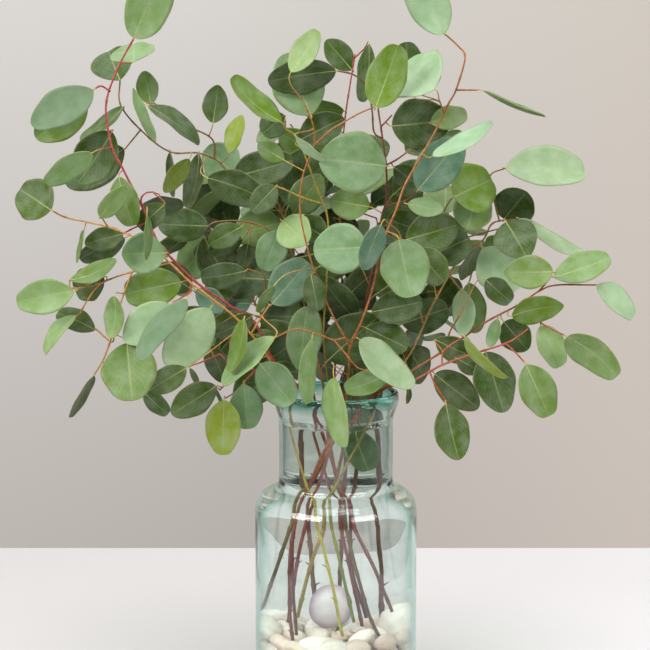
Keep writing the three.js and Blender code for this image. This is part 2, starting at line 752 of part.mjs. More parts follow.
// A closed geometry as a solid that can be cut and joined.
function solidOf(geometry) {
  const bare = geometry.clone();
  bare.deleteAttribute('normal');
  bare.deleteAttribute('uv');
  const merged = mergeVertices(bare, 1e-4);
  return new wasm.Manifold(new wasm.Mesh({
    numProp: 3,
    vertProperties: new Float32Array(merged.attributes.position.array),
    triVerts: new Uint32Array(merged.index.array),
  }));
}

function geometryOf(solid) {
  const mesh = solid.getMesh();
  const geometry = new THREE.BufferGeometry();
  const positions = new Float32Array((mesh.vertProperties.length / mesh.numProp) * 3);
  for (let i = 0; i < positions.length / 3; i += 1) {
    for (let k = 0; k < 3; k += 1) {
      positions[i * 3 + k] = mesh.vertProperties[i * mesh.numProp + k];
    }
  }
  geometry.setAttribute('position', new THREE.BufferAttribute(positions, 3));
  geometry.setIndex(new THREE.BufferAttribute(new Uint32Array(mesh.triVerts), 1));
  return geometry;
}

// A round limb through a list of places, tapering from one radius to another.
function limbSolid(points, [from, to], sides, grow = 0) {
  const spans = points.length - 1;
  const geometry = new THREE.CylinderGeometry(1, 1, 1, sides, spans);
  const position = geometry.attributes.position;
  const ways = points.map((place, i) => unit(minus(
    points[Math.min(i + 1, spans)], points[Math.max(i - 1, 0)],
  )));
  let side = unit(cross(ways[0], [0.3, 1, 0.2]));
  const frames = ways.map((way) => {
    side = unit(minus(side, times(way, dot(side, way))));
    return { side, other: cross(way, side) };
  });
  for (let i = 0; i < position.count; i += 1) {
    const ring = Math.round((position.getY(i) + 0.5) * spans);
    const radius = from + ((to - from) * ring) / spans + grow;
    const { side: x, other: y } = frames[ring];
    const place = add(points[ring], add(
      times(x, position.getX(i) * radius), times(y, -position.getZ(i) * radius),
    ));
    position.setXYZ(i, ...place);
  }
  return solidOf(geometry);
}

// A leaf: a three-sided petiole that widens into the two like faces of the blade.
const BLADE_STATIONS = [0.3, 0.72];

// A direction turned by the shortest turn that takes one way to another.
function carried(line, from, to) {
  const both = add(from, to);
  const share = dot(both, line) / Math.max(1 + dot(from, to), 0.05);
  return add(minus(line, times(both, share)), times(to, 2 * dot(from, line)));
}

function leafSolid(leaf) {
  const half = times(leaf.normal, BLADE_THICKNESS / 2);
  const run = unit(minus(leaf.base, leaf.root.place));
  const stalk = [[leaf.root.place, run], [leaf.base, unit(add(run, leaf.axis))]];
  const sections = stalk.map(([middle, way]) => {
    const wide = times(carried(leaf.side, leaf.axis, way), PETIOLE_RADIUS);
    const thick = times(carried(leaf.normal, leaf.axis, way), PETIOLE_RADIUS * PETIOLE_FLATNESS);
    return [
      add(minus(middle, wide), thick), add(add(middle, wide), thick), minus(middle, times(thick, 2)),
    ];
  });
  const edges = BLADE_STATIONS.flatMap((along) => [onBlade(leaf, along, -1), onBlade(leaf, along, 1)]);
  const blade = [...edges, onBlade(leaf, 1, 0)];
  const places = [
    ...sections.flatMap(([left, right]) => [left, right]), ...blade.map((place) => add(place, half)),
    ...sections.map(([, , keel]) => keel), ...blade.map((place) => minus(place, half)),
  ];
  // The upper face, the blade's lower face, the skirts from one to the other, and the cut end.
  const index = [
    0, 2, 1, 1, 2, 3, 2, 4, 3, 3, 4, 5, 4, 6, 5, 5, 6, 7, 6, 8, 7,
    10, 12, 11, 11, 12, 13, 12, 14, 13, 13, 14, 15,
    9, 10, 2, 9, 2, 0, 10, 11, 4, 10, 4, 2, 11, 13, 6, 11, 6, 4, 13, 15, 8, 13, 8, 6,
    9, 3, 10, 9, 1, 3, 10, 5, 12, 10, 3, 5, 12, 7, 14, 12, 5, 7, 14, 8, 15, 14, 7, 8,
    0, 1, 9,
  ];
  const geometry = new THREE.BufferGeometry();
  geometry.setAttribute('position', new THREE.Float32BufferAttribute(places.flat(), 3));
  geometry.setIndex(index);
  return solidOf(geometry);
}

// The largest closed body of a solid: what its joins seal off inside is filled.
function oneBody(solid) {
  return solid.decompose().reduce((best, piece) => (piece.volume() > best.volume() ? piece : best));
}

// The plain hole that a stem stands in, a little wider and deeper than its cut end.
function stemHole({ points: [end, next, ...others], radius, sides }) {
  const deeper = add(end, times(unit(minus(end, next)), HOLE_GAP));
  return limbSolid([deeper, next, ...others], radius, sides, HOLE_GAP);
}

function branchSolid(branch) {
  const pieces = branch.limbs.map((limb) => limbSolid(limb.points, limb.radius, limb.sides));
  for (const leaf of branch.leaves) {
    pieces.push(leafSolid(leaf));
  }
  return oneBody(wasm.Manifold.union(pieces).simplify(UNION_TOLERANCE));
}

// The jar's outer outline from the base up, as [radius, height].
const OUTER_OUTLINE = [
  [0, 0], [FOOT_RADIUS, 0], [BODY_RADIUS - 3.5, 2.5], [BODY_RADIUS - 1.5, 8],
  [BODY_RADIUS, 100], [BODY_RADIUS, SHOULDER_FOOT], [BODY_RADIUS - 2, 199],
  [BODY_RADIUS - 7, 207], [BODY_RADIUS - 15, 212], [NECK_RADIUS + 3, 216], [NECK_RADIUS, SHOULDER_TOP],
  [NECK_RADIUS, 240], [NECK_RADIUS, JAR_HEIGHT - RIM_BAND - 4],
  [NECK_RADIUS + 2, JAR_HEIGHT - RIM_BAND], [RIM_RADIUS, JAR_HEIGHT - 6], [RIM_RADIUS - 1, JAR_HEIGHT],
];

// The inner outline from the floor up: the outer one, a wall's thickness inside it.
const INNER_OUTLINE = [
  [0, FLOOR_THICKNESS], [FOOT_RADIUS - 6, FLOOR_THICKNESS], [BODY_RADIUS - 6.5, FLOOR_THICKNESS + 5],
  [BODY_RADIUS - WALL, 100], [BODY_RADIUS - WALL, SHOULDER_FOOT - 1],
  [BODY_RADIUS - WALL - 1.5, 196.5], [BODY_RADIUS - WALL - 6.5, 203.5], [BODY_RADIUS - WALL - 14, 208],
  [NECK_RADIUS - WALL + 3, 212], [NECK_RADIUS - WALL, SHOULDER_TOP - 3],
  [NECK_RADIUS - WALL, JAR_HEIGHT - RIM_BAND], [RIM_RADIUS - 7, JAR_HEIGHT],
];

// A body of revolution, standing along +Z, as a solid.
function turned(outline, sides = JAR_SIDES) {
  const points = outline.map(([radius, height]) => new THREE.Vector2(radius, height));
  const geometry = new THREE.LatheGeometry(points, sides);
  geometry.rotateX(Math.PI / 2);
  return solidOf(geometry);
}

const jarSolid = () => turned([...OUTER_OUTLINE, ...[...INNER_OUTLINE].reverse()]);

// The room inside the jar up to a height, a gap clear of the glass.
function roomInside(height, gap) {
  const outline = INNER_OUTLINE.filter(([, z]) => z < height).map(([radius, z]) => [
    Math.max(radius - gap, 0), z + (z === FLOOR_THICKNESS ? gap : 0),
  ]);
  const above = INNER_OUTLINE.findIndex(([, z]) => z >= height);
  const [r0, z0] = INNER_OUTLINE[above - 1];
  const [r1, z1] = INNER_OUTLINE[above];
  const edge = r0 + ((r1 - r0) * (height - z0)) / (z1 - z0) - gap;
  return turned([...outline, [edge, height], [0, height]]);
}

// The shells and pebbles that stand free enough to be pieces of their own.
const SHELLS = [
  {
    name: 'round_shell', place: [-4, -16, 99], half: [16.5, 9, 22], turn: 0.1, colour: 0x9d9398,
  },
  {
    name: 'white_shell_right', place: [53, -4, 76], half: [20, 11, 21], turn: -0.35, colour: 0xf0ebe4,
  },
  {
    name: 'white_shell_left', place: [-58, -14, 72], half: [15, 10, 13], turn: 0.4, colour: 0xefe6da,
  },
  {
    name: 'white_shell_front', place: [-14, -52, 66], half: [21, 8, 10], turn: 0.05, colour: 0xf3eee6,
  },
];
const SHELL_FACETS = [7, 4];

function shellSolid({ place, half, turn }, grow = 0) {
  const geometry = new THREE.SphereGeometry(1, ...SHELL_FACETS);
  geometry.scale(half[0] + grow, half[2] + grow, half[1] + grow);
  geometry.rotateX(Math.PI / 2);
  geometry.rotateY(turn);
  geometry.translate(...place);
  return solidOf(geometry);
}

// The bed: rings of small shells and pebbles round a core, and more heaped on its top.
const BED_RINGS = [
  { count: 7, out: 59, height: 24, half: [25, 14, 18] },
  { count: 8, out: 60, height: 54, half: [21, 13, 14] },
  { count: 4, out: 32, height: 68, half: [17, 14, 8] },
];
const BED_CORE = 56;
const BED_SIDES = 10;

function bedSolid(stems) {
  const draw = seeded(17);
  const pieces = [
    turned([
      [0, FLOOR_THICKNESS + SEAT_GAP], [BED_CORE + 8, FLOOR_THICKNESS + SEAT_GAP],
      [BED_CORE + 6, BED_HEIGHT - 14], [BED_CORE - 8, BED_HEIGHT], [0, BED_HEIGHT + 2],
    ], BED_SIDES),
  ];
  for (const ring of BED_RINGS) {
    for (let i = 0; i < ring.count; i += 1) {
      const around = ((i + 0.7 * draw()) / ring.count) * Math.PI * 2;
      const geometry = new THREE.IcosahedronGeometry(1, 0);
      geometry.rotateX(draw() * 3);
      geometry.scale(
        ring.half[0] * (0.85 + 0.3 * draw()),
        ring.half[1] * (0.85 + 0.3 * draw()),
        ring.half[2] * (0.85 + 0.3 * draw()),
      );
      geometry.rotateX((draw() - 0.5) * 0.9);
      geometry.rotateZ(around + Math.PI / 2 + (draw() - 0.5) * 0.8);
      geometry.translate(
        ring.out * Math.cos(around), ring.out * Math.sin(around), ring.height + 4 * draw(),
      );
      pieces.push(solidOf(geometry));
    }
  }
  const heap = wasm.Manifold.union(pieces).intersect(roomInside(BED_HEIGHT + 22, SEAT_GAP));
  const cuts = [...stems, ...SHELLS.map((shell) => shellSolid(shell, SHELL_GAP))];
  return oneBody(heap.subtract(wasm.Manifold.union(cuts)));
}

// The room that a leaf under water needs: its hull, a gap wider all round.
function leafRoom(leaf) {
  const hull = leafSolid(leaf).hull();
  const sides = [
    [LEAF_GAP, 0, 0], [-LEAF_GAP, 0, 0], [0, LEAF_GAP, 0], [0, -LEAF_GAP, 0],
    [0, 0, LEAF_GAP], [0, 0, -LEAF_GAP],
  ];
  return wasm.Manifold.hull(sides.map((side) => hull.translate(side)));
}

function underWater({ base: [x, y, z] }) {
  return z < WATER_LEVEL && Math.hypot(x, y) < NECK_RADIUS - WALL;
}

// The water above the bed, with room for each stem, leaf and shell that stands in it.
const WATER_FOOT = 83;

function waterSolid(stems, sunk) {
  const below = turned([
    [0, 0], [BODY_RADIUS, 0], [BODY_RADIUS, WATER_FOOT - 3], [0, WATER_FOOT],
  ]);
  const shells = SHELLS.map((shell) => shellSolid(shell, SHELL_GAP));
  const cuts = [below, ...stems, ...shells, ...sunk.map(leafRoom)];
  return oneBody(roomInside(WATER_LEVEL, SEAT_GAP).subtract(wasm.Manifold.union(cuts)));
}

const MATERIALS = {
  glass: new THREE.MeshStandardMaterial({
    color: 0xcfe3dc, roughness: 0.05, metalness: 0, transparent: true, opacity: 0.35,
  }),
  water: new THREE.MeshStandardMaterial({
    color: 0xdcebe6, roughness: 0.02, metalness: 0, transparent: true, opacity: 0.3,
  }),
  shells: new THREE.MeshStandardMaterial({ color: 0xece4d8, roughness: 0.7, metalness: 0 }),
  leaves: new THREE.MeshStandardMaterial({ color: 0x7f9f78, roughness: 0.6, metalness: 0 }),
};

const group = new THREE.Group();

function place(name, geometry, material) {
  const mesh = new THREE.Mesh(geometry, material);
  mesh.name = name;
  group.add(mesh);
}

const grown = setOutBranches(BRANCHES);
const stemHoles = grown.map(({ limbs: [stem] }) => stemHole(stem));
const sunkLeaves = grown.flatMap(({ leaves }) => leaves.filter(underWater));

place('jar', geometryOf(jarSolid()), MATERIALS.glass);
place('water', geometryOf(waterSolid(stemHoles, sunkLeaves)), MATERIALS.water);
place('shell_bed', geometryOf(bedSolid(stemHoles)), MATERIALS.shells);
for (const shell of SHELLS) {
  const material = MATERIALS.shells.clone();
  material.color.set(shell.colour);
  place(shell.name, geometryOf(shellSolid(shell)), material);
}
for (const branch of grown) {
  place(branch.name, geometryOf(branchSolid(branch)), MATERIALS.leaves);
}

export default group;
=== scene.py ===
# %% [markdown]
# # Eucalyptus branches in a glass jar
# This lesson dresses a plain CAD model of an arrangement: cut branches of silver-dollar
# eucalyptus, which stand in a jar of recycled glass with water over a bed of shells. The CAD
# model fixes every place and size. Here each leaf gets its fine shape, its midrib and its waxy
# bloom, the glass gets its waves and bubbles, and the shells get their ribs.

# %% Load the frame
import math

import bmesh
import bpy
import numpy as np
from mathutils import Matrix, Vector, noise


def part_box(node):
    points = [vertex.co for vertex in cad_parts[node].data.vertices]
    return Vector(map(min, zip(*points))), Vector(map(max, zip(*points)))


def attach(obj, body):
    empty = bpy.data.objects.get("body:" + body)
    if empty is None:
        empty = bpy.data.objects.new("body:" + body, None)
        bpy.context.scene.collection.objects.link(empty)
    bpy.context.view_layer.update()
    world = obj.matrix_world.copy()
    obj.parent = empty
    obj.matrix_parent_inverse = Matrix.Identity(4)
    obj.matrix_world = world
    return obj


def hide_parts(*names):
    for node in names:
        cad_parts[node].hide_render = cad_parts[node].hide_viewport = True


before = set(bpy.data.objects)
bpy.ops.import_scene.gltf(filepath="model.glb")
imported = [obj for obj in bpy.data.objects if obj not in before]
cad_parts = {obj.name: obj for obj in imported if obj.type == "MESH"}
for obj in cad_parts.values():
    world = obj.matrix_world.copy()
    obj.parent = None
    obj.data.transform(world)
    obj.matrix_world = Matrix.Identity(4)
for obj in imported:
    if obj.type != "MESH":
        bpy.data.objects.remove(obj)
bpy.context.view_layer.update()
print("CAD nodes:", len(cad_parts))

# %% [markdown]
# ## Small helpers
# The branches are laid out in millimetres, as the CAD model is, and Blender works in metres, so
# one named factor stands between them. A colour is written as a maker would note it, as an sRGB
# hex value, and shaders need it linear. One function turns it.

# %% Units and colours
MM = 0.001


def linear(hex_colour, alpha=1.0):
    parts = [int(hex_colour[i:i + 2], 16) / 255 for i in (1, 3, 5)]
    lit = [c / 12.92 if c <= 0.04045 else ((c + 0.055) / 1.055) ** 2.4 for c in parts]
    return (*lit, alpha)


print("white in linear light:", linear("#FFFFFF"))

# %% [markdown]
# A material is a small graph. One function adds a node, sets its values and links its inputs, so
# that each recipe below reads from the surface back to its causes.


# %% A node and a material
def add_node(material, kind, settings=None, **inputs):
    node = material.node_tree.nodes.new(kind)
    for name, value in (settings or {}).items():
        setattr(node, name, value)
    for name, value in inputs.items():
        key = int(name[1:]) if name[0] == "i" and name[1:].isdigit() else name.replace("_", " ")
        socket = node.inputs[key]
        if isinstance(value, bpy.types.NodeSocket):
            material.node_tree.links.new(value, socket)
        else:
            socket.default_value = value
    return node


def new_material(name):
    material = bpy.data.materials.new(name)
    material.use_nodes = True
    material.node_tree.nodes.clear()
    return material


def set_ramp(ramp, *stops):
    elements = ramp.color_ramp.elements
    while len(elements) < len(stops):
        elements.new(0.5)
    for element, (position, colour) in zip(elements, stops):
        element.position = position
        element.color = colour


def finish_material(material, shader, volume=None):
    output = add_node(material, "ShaderNodeOutputMaterial", Surface=shader.outputs[0])
    if volume:
        material.node_tree.links.new(volume.outputs[0], output.inputs["Volume"])
    print("material:", material.name, "with", len(material.node_tree.nodes), "nodes")
    return output


# %% [markdown]
# A piece is modelled part by part, each leaf or limb in a small mesh of its own, because tools work faster
# on small meshes. The parts are then joined into one object at the origin. It rides on the part's one body
# and stands for the CAD nodes that it dresses.


# %% From parts to a piece
def make_piece(name, parts, material, slot, *nodes):
    whole = parts[0]
    for part in parts[1:]:
        loose = bpy.data.meshes.new("part")
        part.to_mesh(loose)
        part.free()
        whole.from_mesh(loose)
        bpy.data.meshes.remove(loose)
    mesh = bpy.data.meshes.new(name)
    whole.to_mesh(mesh)
    whole.free()
    mesh.materials.append(material)
    mesh.polygons.foreach_set("use_smooth", [True] * len(mesh.polygons))
    piece = bpy.data.objects.new(name, mesh)
    bpy.context.scene.collection.objects.link(piece)
    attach(piece, "root")
    if nodes:
        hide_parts(*nodes)
    print(name, "has", len(mesh.polygons), "faces")
    return piece


# %% [markdown]
# ## How the branches were drawn
# A branch seen from the front is drawn on an upright sheet through the jar's axis, as an eye
# 1.7 m away sees it, and each point has a depth behind that sheet. That is how a florist would
# sketch it. The same eye is the camera of this scene.

# %% The eye and the sheet
EYE_DISTANCE = 1700
EYE_PITCH = math.radians(7.4)
SHEET_CENTRE = (-11, 365)
SHEET_HEIGHT = 378.6
LOOK = np.array([0, math.cos(EYE_PITCH), -math.sin(EYE_PITCH)])
RISE = np.array([0, math.sin(EYE_PITCH), math.cos(EYE_PITCH)])
EYE = np.array([
    SHEET_CENTRE[0], -EYE_DISTANCE * LOOK[1], SHEET_HEIGHT - EYE_DISTANCE * LOOK[2],
])


def sighted(across, up, depth):
    ray = LOOK * EYE_DISTANCE + RISE * (up - SHEET_CENTRE[1])
    ray[0] += across - SHEET_CENTRE[0]
    return EYE + ray * ((depth - EYE[1]) / ray[1])


def seen(places):
    lines = places - EYE
    scale = EYE_DISTANCE / (lines @ LOOK)
    return SHEET_CENTRE[0] + lines[..., 0] * scale, SHEET_CENTRE[1] + (lines @ RISE) * scale


print("the eye, in millimetres:", EYE.round(1))

# %% [markdown]
# ## The branches
# Each branch has a stem from its cut end up, as (across, up, depth), then its twigs, which lean
# by a depth from root to tip, and its leaves in three layers from front to back, as (base across,
# base up, tip across, tip up, width as seen, tone). The bark has a tone at the foot, one at the
# top and one for the petioles.

# %% A list for the branches
BRANCHES = []


def add_branch(name, radius, bark, stem, twigs, front=(), middle=(), back=()):
    layers = {"front": front, "middle": middle, "back": back}
    BRANCHES.append(
        {"name": name, "radius": radius, "bark": bark, "stem": stem, "twigs": twigs, **layers},
    )
    print(name, "has", sum(len(rows) for rows in layers.values()), "drawn leaves")


# %% [markdown]
# ### The tall branch at the left
# A dark red stem that leaves the jar low on the left, then turns up and carries the topmost leaf
# of that side.

# %% The tall branch at the left
add_branch(
    "branch_tall_left",
    radius=(2.7, 1.5),
    bark=("#541A1C", "#A4423F", "#B9584A"),
    stem=[
        (50, 80, -36), (33, 122, -29), (10, 180, -18), (-8, 250, -9), (-26, 290, -14),
        (-62, 329, -34), (-80, 365, -50), (-110, 387, -62), (-135, 404, -66), (-155, 422, -66),
        (-178, 448, -62), (-190, 475, -58), (-213, 521, -50), (-224, 543, -46), (-230, 584, -40),
        (-219, 620, -34), (-202, 652, -30),
    ],
    twigs=[
        (-8, [(-228, 601), (-235, 604), (-243, 600)]),
        (6, [(-190, 475), (-195, 490), (-190, 497), (-183, 498)]),
        (12, [(-188, 466), (-200, 463), (-210, 458)]),
        (-12, [(-147, 412), (-146, 400), (-155, 392), (-163, 388)]),
    ],
    front=[
        (-243, 600, -304, 564, 33, "mint"), (-171, 437, -212, 436, 42, "bluish"),
        (-165, 385, -212, 348, 40, "mint"), (-150, 391, -199, 332, 22, "mint"),
        (-126, 381, -168, 322, 46, "mint"), (-155, 408, -211, 396, 40, "bright"),
        (-213, 456, -251, 446, 24, "deep"), (-244, 537, -290, 507, 20, "light"),
    ],
    middle=[
        (-202, 652, -168, 724, 40, "light"), (-249, 588, -300, 552, 38, "mid"),
        (-217, 513, -203, 464, 30, "mid"), (-172, 485, -197, 462, 24, "dark"),
        (-182, 448, -168, 433, 8, "mid"), (-189, 475, -190, 430, 5, "mid"),
    ],
    back=[
        (-203, 628, -203, 645, 46, "bluish"), (-224, 558, -258, 507, 44, "dark"),
        (-176, 494, -170, 474, 42, "dark"), (-211, 452, -256, 430, 22, "dark"),
    ],
)

# %% [markdown]
# ### The middle branch at the left
# A brown stem behind the tall one. Its twigs fill the left half of the crown.

# %% The middle branch at the left
add_branch(
    "branch_mid_left",
    radius=(2.6, 1.3),
    bark=("#4E2A18", "#94703E", "#B98A48"),
    stem=[
        (38, 52, -26), (24, 90, -22), (8, 165, -10), (-5, 250, -1), (-12, 300, 4), (-26, 360, 14),
        (-40, 420, 24), (-57, 484, 36), (-74, 498, 42), (-105, 515, 50), (-118, 529, 52),
        (-138, 537, 56), (-165, 538, 60), (-190, 555, 60), (-215, 584, 60), (-216, 610, 60),
    ],
    twigs=[
        (-10, [(-120, 531), (-124, 551), (-148, 564), (-166, 577), (-182, 587)]),
        (-10, [(-195, 559), (-211, 541)]),
        (-16, [(-46, 440), (-70, 462), (-97, 469), (-120, 468), (-128, 464)]),
        (-20, [(-36, 400), (-55, 408), (-70, 400), (-72, 414), (-88, 421)]),
    ],
    front=[
        (-102, 513, -43, 530, 38, "dark"), (-100, 516, -130, 542, 40, "bluish"),
        (-147, 531, -172, 498, 17, "lime"), (-107, 537, -93, 575, 19, "lime"),
        (-54, 469, -29, 447, 38, "light"), (-57, 459, -72, 420, 32, "bluish"),
        (-64, 386, -28, 428, 42, "teal"), (-188, 584, -137, 545, 19, "dark"),
    ],
    middle=[
        (-216, 610, -228, 640, 44, "dark"), (-213, 583, -256, 550, 18, "deep"),
        (-181, 548, -204, 602, 9, "light"), (-185, 585, -192, 619, 22, "mid"),
        (-123, 567, -118, 605, 26, "deep"), (-112, 502, -146, 470, 13, "light"),
        (-137, 536, -149, 482, 21, "olive"), (-55, 467, -102, 455, 41, "grey"),
        (-91, 419, -135, 412, 26, "dark"), (-46, 437, -53, 391, 6, "light"),
        (-95, 463, -126, 446, 26, "deep"),
    ],
    back=[
        (-212, 541, -272, 508, 45, "dark"), (-128, 512, -70, 490, 34, "dark"),
        (-166, 538, -162, 493, 11, "dark"), (-128, 464, -178, 466, 34, "dark"),
        (-94, 452, -127, 437, 20, "dark"), (-88, 446, -93, 423, 18, "olive"),
        (-95, 412, -130, 398, 28, "dark"),
    ],
)

# %% [markdown]
# ### The low branch at the right
# A short red stem that reaches out over the shoulder of the jar, with leaves hanging from it.

# %% The low branch at the right
add_branch(
    "branch_low_right",
    radius=(2.9, 1.4),
    bark=("#5A1E20", "#A8583C", "#BC7846"),
    stem=[
        (-38, 40, -46), (-42, 95, -42), (-36, 165, -34), (-8, 245, -30), (18, 275, -30),
        (44, 299, -28), (78, 310, -36), (106, 325, -46), (140, 337, -54), (173, 348, -58),
        (192, 361, -56),
    ],
    twigs=[
        (-10, [(94, 318), (100, 304), (112, 286)]),
        (-10, [(171, 347), (180, 337), (190, 326)]),
        (8, [(106, 325), (107, 338), (116, 346), (128, 353)]),
    ],
    front=[
        (130, 352, 172, 312, 9, "lime"), (110, 286, 123, 230, 36, "deep"),
        (190, 325, 213, 274, 37, "mid"),
    ],
    middle=[
        (99, 316, 143, 282, 34, "olive"), (150, 338, 168, 278, 42, "dark"),
        (72, 303, 71, 286, 6, "olive"),
    ],
    back=[
        (100, 350, 140, 332, 26, "olive"), (120, 332, 146, 318, 20, "olive"),
    ],
)

# %% [markdown]
# ### The far branch at the right
# A thin pinkish stem that reaches furthest to the right.

# %% The far branch at the right
add_branch(
    "branch_far_right",
    radius=(2.6, 1.3),
    bark=("#5A2420", "#A2623E", "#C08448"),
    stem=[
        (-34, 58, -34), (-37, 120, -30), (-32, 175, -23), (-2, 250, -20), (24, 283, -18),
        (50, 303, -8), (72, 317, -6), (112, 342, -14), (150, 368, -22), (182, 385, -26),
        (205, 400, -28), (222, 405, -30), (258, 405, -30),
    ],
    twigs=[
        (-8, [(203, 398), (210, 407), (216, 417)]),
        (-10, [(190, 390), (200, 372), (210, 364), (230, 354)]),
        (-12, [(112, 342), (113, 356), (122, 372)]),
    ],
    front=[
        (176, 374, 228, 384, 28, "bright"), (217, 418, 168, 418, 34, "grey"),
        (231, 353, 281, 314, 30, "grey"),
    ],
    middle=[
        (261, 405, 297, 372, 25, "mint"), (218, 413, 274, 433, 30, "grey"),
        (205, 364, 224, 323, 28, "light"), (162, 371, 153, 343, 12, "bluish"),
        (126, 400, 127, 354, 22, "mint"),
    ],
    back=[
        (168, 368, 192, 340, 32, "dark"), (150, 410, 175, 388, 24, "dark"),
        (66, 366, 112, 382, 36, "dark"),
    ],
)

# %% [markdown]
# ### The pink branch in the middle
# A straight pink-red stem. Most of its length is hidden by leaves of other branches.

# %% The pink branch in the middle
add_branch(
    "branch_centre_pink",
    radius=(2.3, 1.3),
    bark=("#602628", "#B45A50", "#BE7048"),
    stem=[
        (-36, 70, 0), (-26, 150, 4), (-12, 210, 8), (-5, 250, 9), (0, 350, 30), (2, 420, 44),
        (5, 490, 50), (8, 562, 50), (19, 636, 44),
    ],
    twigs=[
        (-6, [(19, 632), (27, 640)]),
        (4, [(7, 490), (24, 478), (40, 472)]),
        (18, [(2, 420), (20, 428), (44, 440)]),
    ],
    front=[
        (33, 646, 27, 588, 18, "dark"),
    ],
    middle=[
        (8, 579, -47, 588, 17, "bright"),
    ],
    back=[
        (45, 462, 80, 478, 44, "grey"), (-2, 470, 20, 440, 30, "dark"),
        (16, 620, -10, 650, 26, "dark"),
    ],
)

# %% [markdown]
# ### The orange branch in the middle
# The largest branch: yellow in the jar, orange above it, with the top leaf of the arrangement and
# a long side shoot.

# %% The orange branch in the middle
add_branch(
    "branch_centre_orange",
    radius=(2.5, 1.4),
    bark=("#8A7412", "#AC6E3E", "#C08E48"),
    stem=[
        (-27, 79, 12), (-17, 135, 12), (-6, 180, 14), (7, 260, 13), (13, 320, -8), (14, 343, -18),
        (26, 370, -30), (36, 400, -40), (46, 445, -50), (60, 480, -52), (68, 503, -50),
        (80, 525, -46), (100, 560, -40), (113, 587, -36), (120, 600, -34), (129, 632, -30),
        (122, 644, -28), (109, 656, -26),
    ],
    twigs=[
        (-26, [
            (14, 343), (-6, 380), (-18, 410), (-28, 440), (-36, 480), (-33, 515), (-22, 545),
            (-23, 565), (-30, 583),
        ]),
        (-38, [(14, 345), (9, 352), (-2, 350), (-16, 355), (-39, 361), (-62, 352)]),
        (-12, [(-2, 350), (9, 337), (21, 323), (29, 320)]),
        (-14, [(-22, 545), (-5, 560), (8, 568), (22, 576), (38, 583)]),
        (-14, [(120, 600), (140, 600)]),
        (-12, [(107, 576), (104, 588)]),
        (-10, [(39, 425), (38, 432)]),
    ],
    front=[
        (24, 350, 77, 303, 32, "mint"), (31, 443, -22, 440, 52, "bluish"),
        (63, 450, 76, 393, 50, "bluish"), (99, 601, 67, 622, 64, "mint"),
        (97, 534, 157, 567, 19, "mint"), (-45, 618, -19, 660, 27, "light"),
        (-24, 351, -27, 286, 18, "light"), (40, 583, 62, 645, 40, "bright"),
        (148, 599, 209, 573, 6, "mid"), (-2, 312, 9, 243, 24, "light"),
        (45, 465, 28, 420, 24, "teal"),
    ],
    middle=[
        (108, 656, 70, 722, 38, "mint"), (-25, 575, -52, 636, 52, "bluish"),
        (-40, 553, -11, 530, 8, "mint"), (-28, 384, -34, 318, 36, "bluish"),
        (52, 316, 9, 300, 24, "grey"), (-25, 415, -18, 379, 24, "dark"),
        (80, 440, 108, 408, 34, "deep"), (-10, 284, -43, 280, 18, "bright"),
        (-38, 549, 8, 572, 34, "dark"),
    ],
    back=[
        (75, 600, 70, 648, 34, "dark"), (85, 600, 104, 618, 16, "dark"),
        (95, 568, 131, 576, 24, "light"), (36, 378, 86, 388, 34, "dark"),
        (30, 362, 72, 342, 34, "dark"), (-52, 530, -78, 546, 20, "mid"),
    ],
)

# %% [markdown]
# ### The yellow branch in front
# Bright yellow-green in the water. It leans out over the front of the rim and runs far to the
# left.

# %% The yellow branch in front
add_branch(
    "branch_front_yellow",
    radius=(2.4, 1.3),
    bark=("#948C10", "#BC8A44", "#C28E4C"),
    stem=[
        (6, 55, -62), (-5, 115, -49), (-20, 180, -41), (-33, 225, -33), (-42, 265, -20),
        (-45, 290, -21), (-47, 304, -22), (-60, 320, -44), (-76, 345, -64), (-100, 372, -78),
        (-125, 392, -86), (-146, 408, -88), (-166, 427, -84), (-190, 447, -74), (-228, 463, -60),
        (-268, 472, -46), (-285, 480, -40),
    ],
    twigs=[
        (16, [(-166, 425), (-204, 418), (-225, 411), (-240, 402), (-258, 374)]),
        (-6, [(-204, 418), (-212, 397), (-216, 384)]),
        (8, [(-225, 411), (-246, 404), (-265, 402), (-266, 410)]),
        (-10, [(-228, 463), (-234, 472)]),
        (-8, [(-84, 356), (-74, 374), (-66, 386)]),
        (10, [(-216, 384), (-222, 360), (-224, 348), (-240, 361)]),
        (4, [(-222, 360), (-232, 332), (-242, 315)]),
    ],
    front=[
        (-285, 480, -318, 502, 44, "deep"), (-262, 399, -319, 388, 35, "light"),
        (-209, 347, -204, 293, 56, "mid"), (-61, 353, -113, 305, 24, "light"),
        (-76, 326, -44, 286, 38, "bluish"), (-92, 370, -106, 318, 18, "bright"),
        (-150, 322, -186, 300, 26, "deep"),
    ],
    middle=[
        (-236, 473, -209, 503, 18, "light"), (-252, 460, -259, 427, 7, "mid"),
        (-266, 410, -220, 431, 20, "mid"), (-260, 374, -292, 337, 17, "light"),
        (-242, 314, -265, 272, 6, "olive"), (-222, 394, -224, 352, 22, "grey"),
        (-84, 374, -122, 355, 22, "olive"),
    ],
    back=[
        (-232, 413, -262, 398, 34, "olive"), (-251, 417, -234, 399, 8, "mid"),
        (-241, 360, -279, 377, 22, "dark"), (-192, 298, -168, 276, 18, "dark"),
        (-140, 400, -112, 380, 24, "teal"),
    ],
)

# %% [markdown]
# ### The green branch at the right
# An olive stem with round leaves that stand out against the wall.

